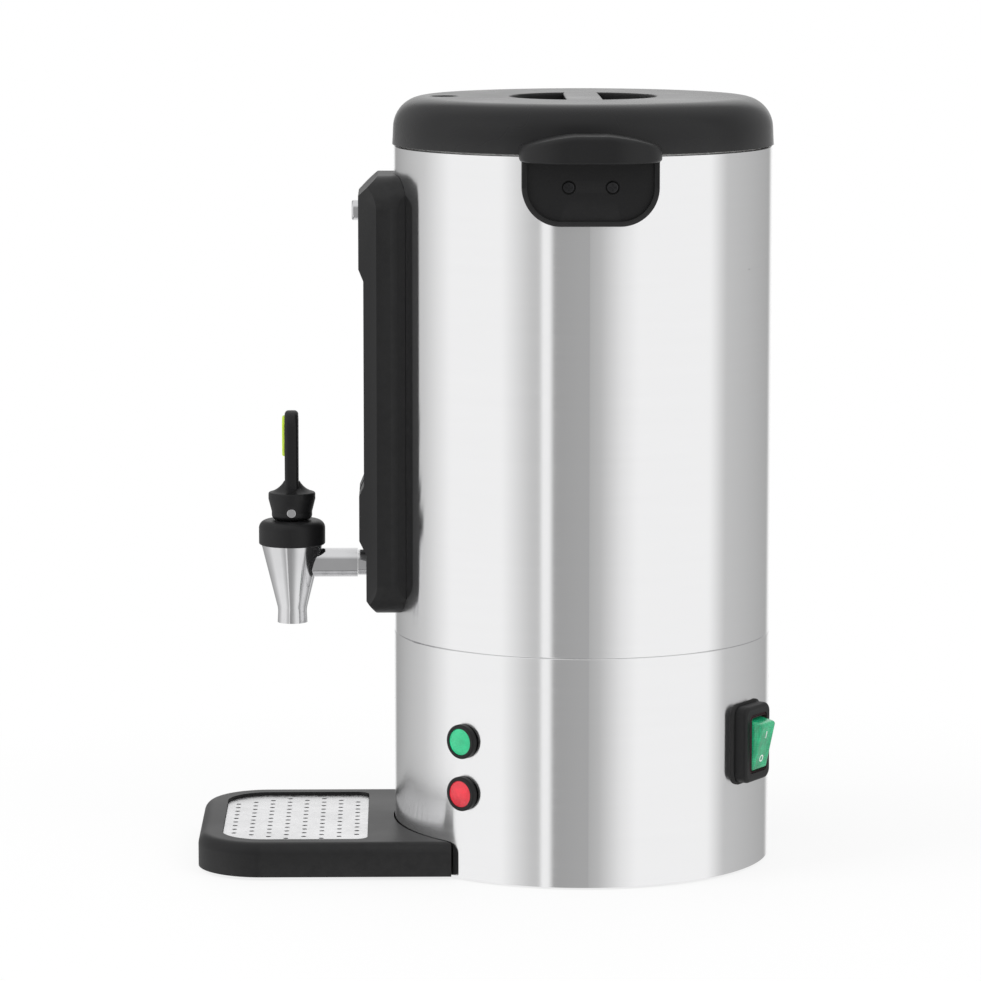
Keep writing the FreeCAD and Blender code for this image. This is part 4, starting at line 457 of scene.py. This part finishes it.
def make_materials(colours):
    """Every finish by name; most have the name of the material slot that they dress."""
    GROUPS["brushed_lines"] = make_brushed_group()
    GROUPS["moulded_grain"] = make_grain_group()
    GROUPS["edge_wear"] = make_wear_group()
    steel, plastic = tuple(colours.steel), tuple(colours.plastic)
    green, red = tuple(colours.green), tuple(colours.red)
    MATERIALS.update({
        "brushed_steel": brushed_steel("brushed_steel", steel),
        "bright_steel": plain_metal("bright_steel", (0.74, 0.74, 0.75), 0.09),
        "zinc_steel": plain_metal("zinc_steel", (0.62, 0.62, 0.64), 0.3, 420.0, 0.3),
        "aluminium": plain_metal("aluminium", (0.76, 0.77, 0.78), 0.34, 520.0, 0.2),
        "black_plastic": moulded_plastic("black_plastic", plastic),
        "lid_plastic": moulded_plastic("lid_plastic", plastic, 0.27, 1400.0, 0.00002),
        "grid_steel": plain_metal("grid_steel", (0.86, 0.86, 0.87), 0.3),
        "black_screw": plain_metal("black_screw", (0.05, 0.05, 0.052), 0.35, 500.0, 0.4),
        "red_plastic": moulded_plastic("red_plastic", (0.55, 0.03, 0.02), 0.3, 500.0, 0.00002,
                                       (0.7, 0.2, 0.2)),
        "green_inlay": moulded_plastic("green_inlay", tuple(colours.lime), 0.3, 700.0, 0.00002,
                                       (0.6, 0.75, 0.2)),
        "green_rocker": lit_plastic("green_rocker", green, 0.10, 700.0, 0.2),
        "green_lens": lit_plastic("green_lens", green, 0.55),
        "red_lens": lit_plastic("red_lens", red, 0.45),
        "boot_rubber": soft_rubber("boot_rubber", (0.035, 0.012, 0.016), 0.5),
        "rubber": soft_rubber("rubber", (0.02, 0.02, 0.02), 0.75),
        "silicone": soft_rubber("silicone", (0.62, 0.62, 0.60), 0.5),
        "ceramic_white": soft_rubber("ceramic_white", (0.80, 0.78, 0.74), 0.55),
        "clear_glass": clear_glass("clear_glass", (0.95, 0.98, 0.97)),
        "mark_white": moulded_plastic("mark_white", (0.80, 0.86, 0.82), 0.35, 900.0, 0.00001,
                                      (0.9, 0.9, 0.9)),
    })


def dress_node(node, material):
    """Gives a construction piece its finish."""
    piece = frame["nodes"][node]
    piece.data.materials.clear()
    piece.data.materials.append(MATERIALS[material])


class FinishStep:
    """What every operator of the add-on shares."""

    bl_options = {"REGISTER", "UNDO"}

    def execute(self, context):
        self.build(context.scene)
        return {"FINISHED"}


SPECIAL_FINISHES = {"handle_screws": "black_screw", "lid_shell": "lid_plastic", "drip_grid": "grid_steel"}


class URN_OT_finishes(FinishStep, bpy.types.Operator):
    """Make the finishes, and give each construction piece the one its material slot names"""

    bl_idname = "urn.finishes"
    bl_label = "Make finishes"

    def build(self, scene):
        make_materials(scene.urn_colours)
        for part in frame["record"]["subparts"]:
            dress_node(part["node"], part["material_slot"])
        for node, finish in SPECIAL_FINISHES.items():
            dress_node(node, finish)


class URN_OT_lenses(FinishStep, bpy.types.Operator):
    """Model the two lamp lenses: shallow domes moulded all over with small square prisms"""

    bl_idname = "urn.lenses"
    bl_label = "Lamp lenses"

    def build(self, scene):
        for colour in ("red", "green"):
            add_lens(f"lamp_lens_{colour}", f"{colour}_lens")


LAMP_AZIMUTH = -39.8
LENS_CROWN = 0.0016
LENS_EDGE = 0.0008
PRISM_PITCH = 0.00105
PRISM_DEPTH = 0.00016
LENS_RINGS = 70
LENS_STEPS = 220


def add_lens(node, material):
    """The dome's height over the lamp's face, at x and y across it:

    z = high - crown (r / R)^2 - depth fade(r) (|saw(x / pitch)| + |saw(y / pitch)|)
    """
    out = outward(LAMP_AZIMUTH)
    side = np.cross(UP, out)
    low, high = reach(node, out)
    low_side, high_side = reach(node, side)
    low_up, high_up = reach(node, UP)
    radius = (high_up - low_up) / 2
    share = np.sqrt(np.linspace(0, 1, LENS_RINGS))[:, None]
    angle = np.linspace(0, 2 * math.pi, LENS_STEPS, endpoint=False)[None, :]
    x, y = radius * share * np.cos(angle), radius * share * np.sin(angle)
    fade = np.clip((1 - share) * 8, 0, 1)
    saw = np.abs((x / PRISM_PITCH) % 1 - 0.5) + np.abs((y / PRISM_PITCH) % 1 - 0.5)
    height = high - LENS_CROWN * share**2 - PRISM_DEPTH * saw * fade
    rows = [np.stack([x, y, height], axis=-1)]
    for inset, depth in ((0.0, high - LENS_CROWN - LENS_EDGE), (0.0, low), (radius, low)):
        ring = (radius - inset) / radius
        rows.append(np.stack([x[-1] * ring, y[-1] * ring, np.full(x.shape[1], depth)], axis=-1)[None])
    flat = np.concatenate(rows)
    middle = side * (low_side + high_side) / 2 + UP * (low_up + high_up) / 2
    points = middle + flat[..., :1] * side + flat[..., 1:2] * UP + flat[..., 2:] * out
    faces = grid_faces(len(flat), x.shape[1], False, True).tolist()
    piece = add_mesh(node + "_moulded", points.reshape(-1, 3), faces, "root", material, 60)
    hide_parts(node)


class URN_OT_switch(FinishStep, bpy.types.Operator):
    """Model the rocker with its bevelled frame and marks, and the folded boot round it"""

    bl_idname = "urn.switch"
    bl_label = "Rocker switch"

    def build(self, scene):
        add_rocker()
        add_boot()


SWITCH_AZIMUTH = 57.8
ROCKER_LEAN = 12.7
MARK_HALF = 0.0022
MARK_LINE = 0.0007
MARK_RELIEF = 0.0002


def leaned(azimuth, lean):
    """The out, side and up directions of a piece that leans out at its top."""
    level = outward(azimuth)
    turn = math.radians(lean)
    out = level * math.cos(turn) - UP * math.sin(turn)
    up = UP * math.cos(turn) + level * math.sin(turn)
    return out, np.cross(UP, level), up


def add_rocker():
    """A slab with a raised rim round a sunk window, and the two plain marks of its positions.

    The profile gives the slab's (inset, height) from its back to the middle of its window.
    """
    out, side, up = leaned(SWITCH_AZIMUTH, ROCKER_LEAN)
    low, high = reach("switch_rocker", out)
    low_side, high_side = reach("switch_rocker", side)
    low_up, high_up = reach("switch_rocker", up)
    half_wide, half_tall = (high_side - low_side) / 2, (high_up - low_up) / 2
    centre = side * (low_side + high_side) / 2 + up * (low_up + high_up) / 2
    profile = [(0.0006, low), (0.0, low + 0.0006), (0.0, high - 0.0022), (0.0002, high - 0.0012),
               (0.0007, high - 0.0005), (0.0013, high - 0.0001), (0.0019, high), (0.0026, high - 0.0001),
               (0.0031, high - 0.0006), (0.0036, high - 0.0008), (0.0050, high - 0.0008)]
    loops = stacked(half_wide, half_tall, 0.0016, profile, centre, out, side, up)
    rocker = add_stack("switch_rocker_moulded", loops, "rocker", "green_rocker")
    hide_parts("switch_rocker")
    face = centre + out * (high - 0.0007)
    low_ring, high_ring = -MARK_RELIEF, MARK_RELIEF
    ring_profile = [(0.0, low_ring), (0.0, high_ring), (MARK_LINE, high_ring), (MARK_LINE, low_ring)]
    ring = stacked(MARK_HALF, MARK_HALF, MARK_HALF, ring_profile, face - up * half_tall * 0.52, out, side, up)
    add_stack("mark_off", ring, "rocker", "mark_white", True)
    bar_profile = [(0.0, low_ring), (0.0, high_ring)]
    bar = stacked(0.0004, MARK_HALF, 0.0003, bar_profile, face + up * half_tall * 0.5, out, side, up)
    add_stack("mark_on", bar, "rocker", "mark_white")


def add_boot():
    """A soft collar in two folds between the housing and the rocker."""
    out = outward(SWITCH_AZIMUTH)
    side = np.cross(UP, out)
    low, high = reach("switch_boot", out)
    low_side, high_side = reach("switch_boot", side)
    low_up, high_up = reach("switch_boot", UP)
    half_wide, half_tall = (high_side - low_side) / 2, (high_up - low_up) / 2
    centre = side * (low_side + high_side) / 2 + UP * (low_up + high_up) / 2
    inner = 0.0014
    profile = [(0.0, low), (0.0, high - 0.0008), (0.0003, high - 0.0002), (0.0006, high),
               (0.0008, high - 0.0007), (0.0010, high - 0.0007), (0.0011, high + 0.0004),
               (0.0013, high + 0.0006), (inner, high + 0.0003), (inner, low)]
    loops = stacked(half_wide, half_tall, 0.003, profile, centre, out, side, UP)
    boot = add_stack("switch_boot_folded", loops, "root", "boot_rubber", True)
    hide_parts("switch_boot")


class URN_OT_stage(FinishStep, bpy.types.Operator):
    """Set up the floor, the studio light and the camera"""

    bl_idname = "urn.stage"
    bl_label = "Stage"

    def build(self, scene):
        stage = scene.urn_stage
        scene.view_settings.view_transform = "Standard"
        make_floor()
        make_room(scene, stage)
        make_lamps(stage)
        make_camera(scene, stage)


def white_to_camera(tree, shader, output, share=1.0):
    """Mixes in plain white where the camera sees the surface, straight or through glass."""
    path = tree.nodes.new("ShaderNodeLightPath")
    seen = math_node(tree, "MAXIMUM", path.outputs["Is Camera Ray"], path.outputs["Is Transmission Ray"])
    white = tree.nodes.new("ShaderNodeEmission")
    mix = tree.nodes.new("ShaderNodeMixShader")
    tree.links.new(math_node(tree, "MULTIPLY", seen, share), mix.inputs[0])
    tree.links.new(shader, mix.inputs[1])
    tree.links.new(white.outputs[0], mix.inputs[2])
    tree.links.new(mix.outputs[0], output)


# The floor is whiter to the camera the farther it is from the axis, between these distances.
FLOOR_REACH = 6.0
FLOOR_FADE = (0.16, 0.55)
FLOOR_WHITE = (0.80, 1.0)


def make_floor():
    """A pale floor that keeps the urn's shadow, nearly white to the camera."""
    signs = np.array([(-1, -1, 0), (1, -1, 0), (1, 1, 0), (-1, 1, 0)])
    points = signs * FLOOR_REACH
    mesh = bpy.data.meshes.new("stage_floor")
    mesh.from_pydata(points.tolist(), [], [(0, 1, 2, 3)])
    floor = bpy.data.objects.new("stage_floor", mesh)
    bpy.context.scene.collection.objects.link(floor)
    material, tree, shader, _ = new_material("pale_floor")
    shader.inputs["Base Color"].default_value = (0.93, 0.93, 0.93, 1.0)
    shader.inputs["Roughness"].default_value = 0.6
    far = tree.nodes.new("ShaderNodeVectorMath")
    far.operation = "LENGTH"
    tree.links.new(tree.nodes.new("ShaderNodeTexCoord").outputs["Object"], far.inputs[0])
    share = map_range(tree, far.outputs["Value"], *FLOOR_FADE, *FLOOR_WHITE)
    white_to_camera(tree, shader.outputs[0], tree.nodes["Material Output"].inputs["Surface"], share)
    mesh.materials.append(material)
    floor.visible_glossy = False


# The studio round the urn: how bright its walls are, by degrees round from the camera.
WALLS = [
    (-180, 1.0), (-168, 0.95), (-160, 0.36), (-112, 0.66), (-88, 1.0), (-50, 1.0), (-31, 0.62),
    (-25.5, 0.58), (-24.5, 1.0), (-19, 1.0), (-17.5, 0.38), (6, 0.43), (24, 0.86), (34, 1.0), (84, 1.0),
    (98, 0.60), (156, 0.42), (166, 0.95), (180, 1.0),
]
CEILING = 0.9


def make_room(scene, stage):
    """White walls with darker gaps, which the steel shows as upright bands."""
    world = bpy.data.worlds.new("studio")
    world.use_nodes = True
    scene.world = world
    tree = world.node_tree
    background = tree.nodes["Background"]
    direction = tree.nodes.new("ShaderNodeTexCoord").outputs["Generated"]
    parts = tree.nodes.new("ShaderNodeSeparateXYZ")
    tree.links.new(direction, parts.inputs[0])
    angle = math_node(tree, "ARCTAN2", parts.outputs["Y"], parts.outputs["X"])
    around = math_node(tree, "SUBTRACT", angle, stage.azimuth)
    place = math_node(tree, "WRAP", around, math.pi, -math.pi)
    share = map_range(tree, place, -math.pi, math.pi, 0.0, 1.0)
    ramp = tree.nodes.new("ShaderNodeValToRGB")
    tree.links.new(share, ramp.inputs[0])
    stops = ramp.color_ramp.elements
    for index, (degrees, level) in enumerate(WALLS):
        position = (degrees + 180) / 360
        stop = stops[index] if index < 2 else stops.new(position)
        stop.position = position
        stop.color = (level, level, level, 1.0)
    overhead = map_range(tree, parts.outputs["Z"], 0.55, 0.85, 0.0, 1.0)
    mix = tree.nodes.new("ShaderNodeMix")
    mix.data_type = "RGBA"
    tree.links.new(overhead, mix.inputs["Factor"])
    tree.links.new(ramp.outputs["Color"], mix.inputs["A"])
    mix.inputs["B"].default_value = (CEILING, CEILING, CEILING, 1.0)
    tree.links.new(mix.outputs["Result"], background.inputs["Color"])
    background.inputs["Strength"].default_value = stage.room
    white_to_camera(tree, background.outputs[0], tree.nodes["World Output"].inputs["Surface"])


# Each soft box: its name, degrees round from the camera, height and power.
SOFT_BOXES = (("soft_box_left", -62, 1.5, 14.0), ("soft_box_right", 48, 1.7, 9.0))
SOFT_BOX_SIZE = 1.0
SOFT_BOX_DISTANCE = 1.7
LIT_PLACE = np.array([0.0, 0.0, 0.25])


def make_lamps(stage):
    """Two soft boxes above the urn, left and right of the camera."""
    for name, azimuth, height, power in SOFT_BOXES:
        light = bpy.data.lights.new(name, "AREA")
        light.energy = power
        light.size = SOFT_BOX_SIZE
        box = bpy.data.objects.new(name, light)
        turn = stage.azimuth + math.radians(azimuth)
        place = np.array([SOFT_BOX_DISTANCE * math.cos(turn), SOFT_BOX_DISTANCE * math.sin(turn), height])
        box.matrix_world = looking(place, LIT_PLACE)
        box.visible_glossy = False
        bpy.context.scene.collection.objects.link(box)


def looking(place, target):
    """The matrix of a lamp or camera at a place, looking at a target with +Z up."""
    back = (place - target) / np.linalg.norm(place - target)
    right = np.cross(UP, back)
    right = right / np.linalg.norm(right)
    up = np.cross(back, right)
    rows = np.eye(4)
    rows[:3, 0], rows[:3, 1], rows[:3, 2], rows[:3, 3] = right, up, back, place
    return Matrix(rows.tolist())


def make_camera(scene, stage):
    """The photograph's view: a long lens, a little above the lid, looking slightly down."""
    place = np.array([stage.distance * math.cos(stage.azimuth), stage.distance * math.sin(stage.azimuth),
                      stage.height])
    heading = stage.azimuth + math.pi + stage.turn
    ahead = np.array([math.cos(heading) * math.cos(stage.pitch), math.sin(heading) * math.cos(stage.pitch),
                      -math.sin(stage.pitch)])
    camera = bpy.data.cameras.new("photo_camera")
    camera.sensor_width = SENSOR_WIDTH * 1000
    camera.lens = stage.focal_pixels / PICTURE_PIXELS * SENSOR_WIDTH * 1000
    camera.clip_end = 50
    eye = bpy.data.objects.new("photo_camera", camera)
    eye.matrix_world = looking(place, place + ahead)
    scene.collection.objects.link(eye)
    scene.camera = eye


STEPS = (URN_OT_finishes, URN_OT_lenses, URN_OT_switch, URN_OT_stage)


class URN_PT_panel(bpy.types.Panel):
    """The urn's settings and steps"""

    bl_label = "Coffee Urn"
    bl_idname = "URN_PT_panel"
    bl_space_type = "VIEW_3D"
    bl_region_type = "UI"
    bl_category = "Urn"

    def draw(self, context):
        for step in STEPS:
            self.layout.operator(step.bl_idname)
        for settings in (context.scene.urn_colours, context.scene.urn_stage):
            for name in settings.bl_rna.properties.keys():
                if name not in ("rna_type", "name"):
                    self.layout.prop(settings, name)


CLASSES = (UrnColours, UrnStage, *STEPS, URN_PT_panel)


def register():
    for kind in CLASSES:
        bpy.utils.register_class(kind)
    bpy.types.Scene.urn_colours = bpy.props.PointerProperty(type=UrnColours)
    bpy.types.Scene.urn_stage = bpy.props.PointerProperty(type=UrnStage)


def unregister():
    del bpy.types.Scene.urn_colours
    del bpy.types.Scene.urn_stage
    for kind in reversed(CLASSES):
        bpy.utils.unregister_class(kind)


def main():
    register()
    for step in STEPS:
        group, name = step.bl_idname.split(".")
        getattr(getattr(bpy.ops, group), name)()


if __name__ == "__main__":
    main()
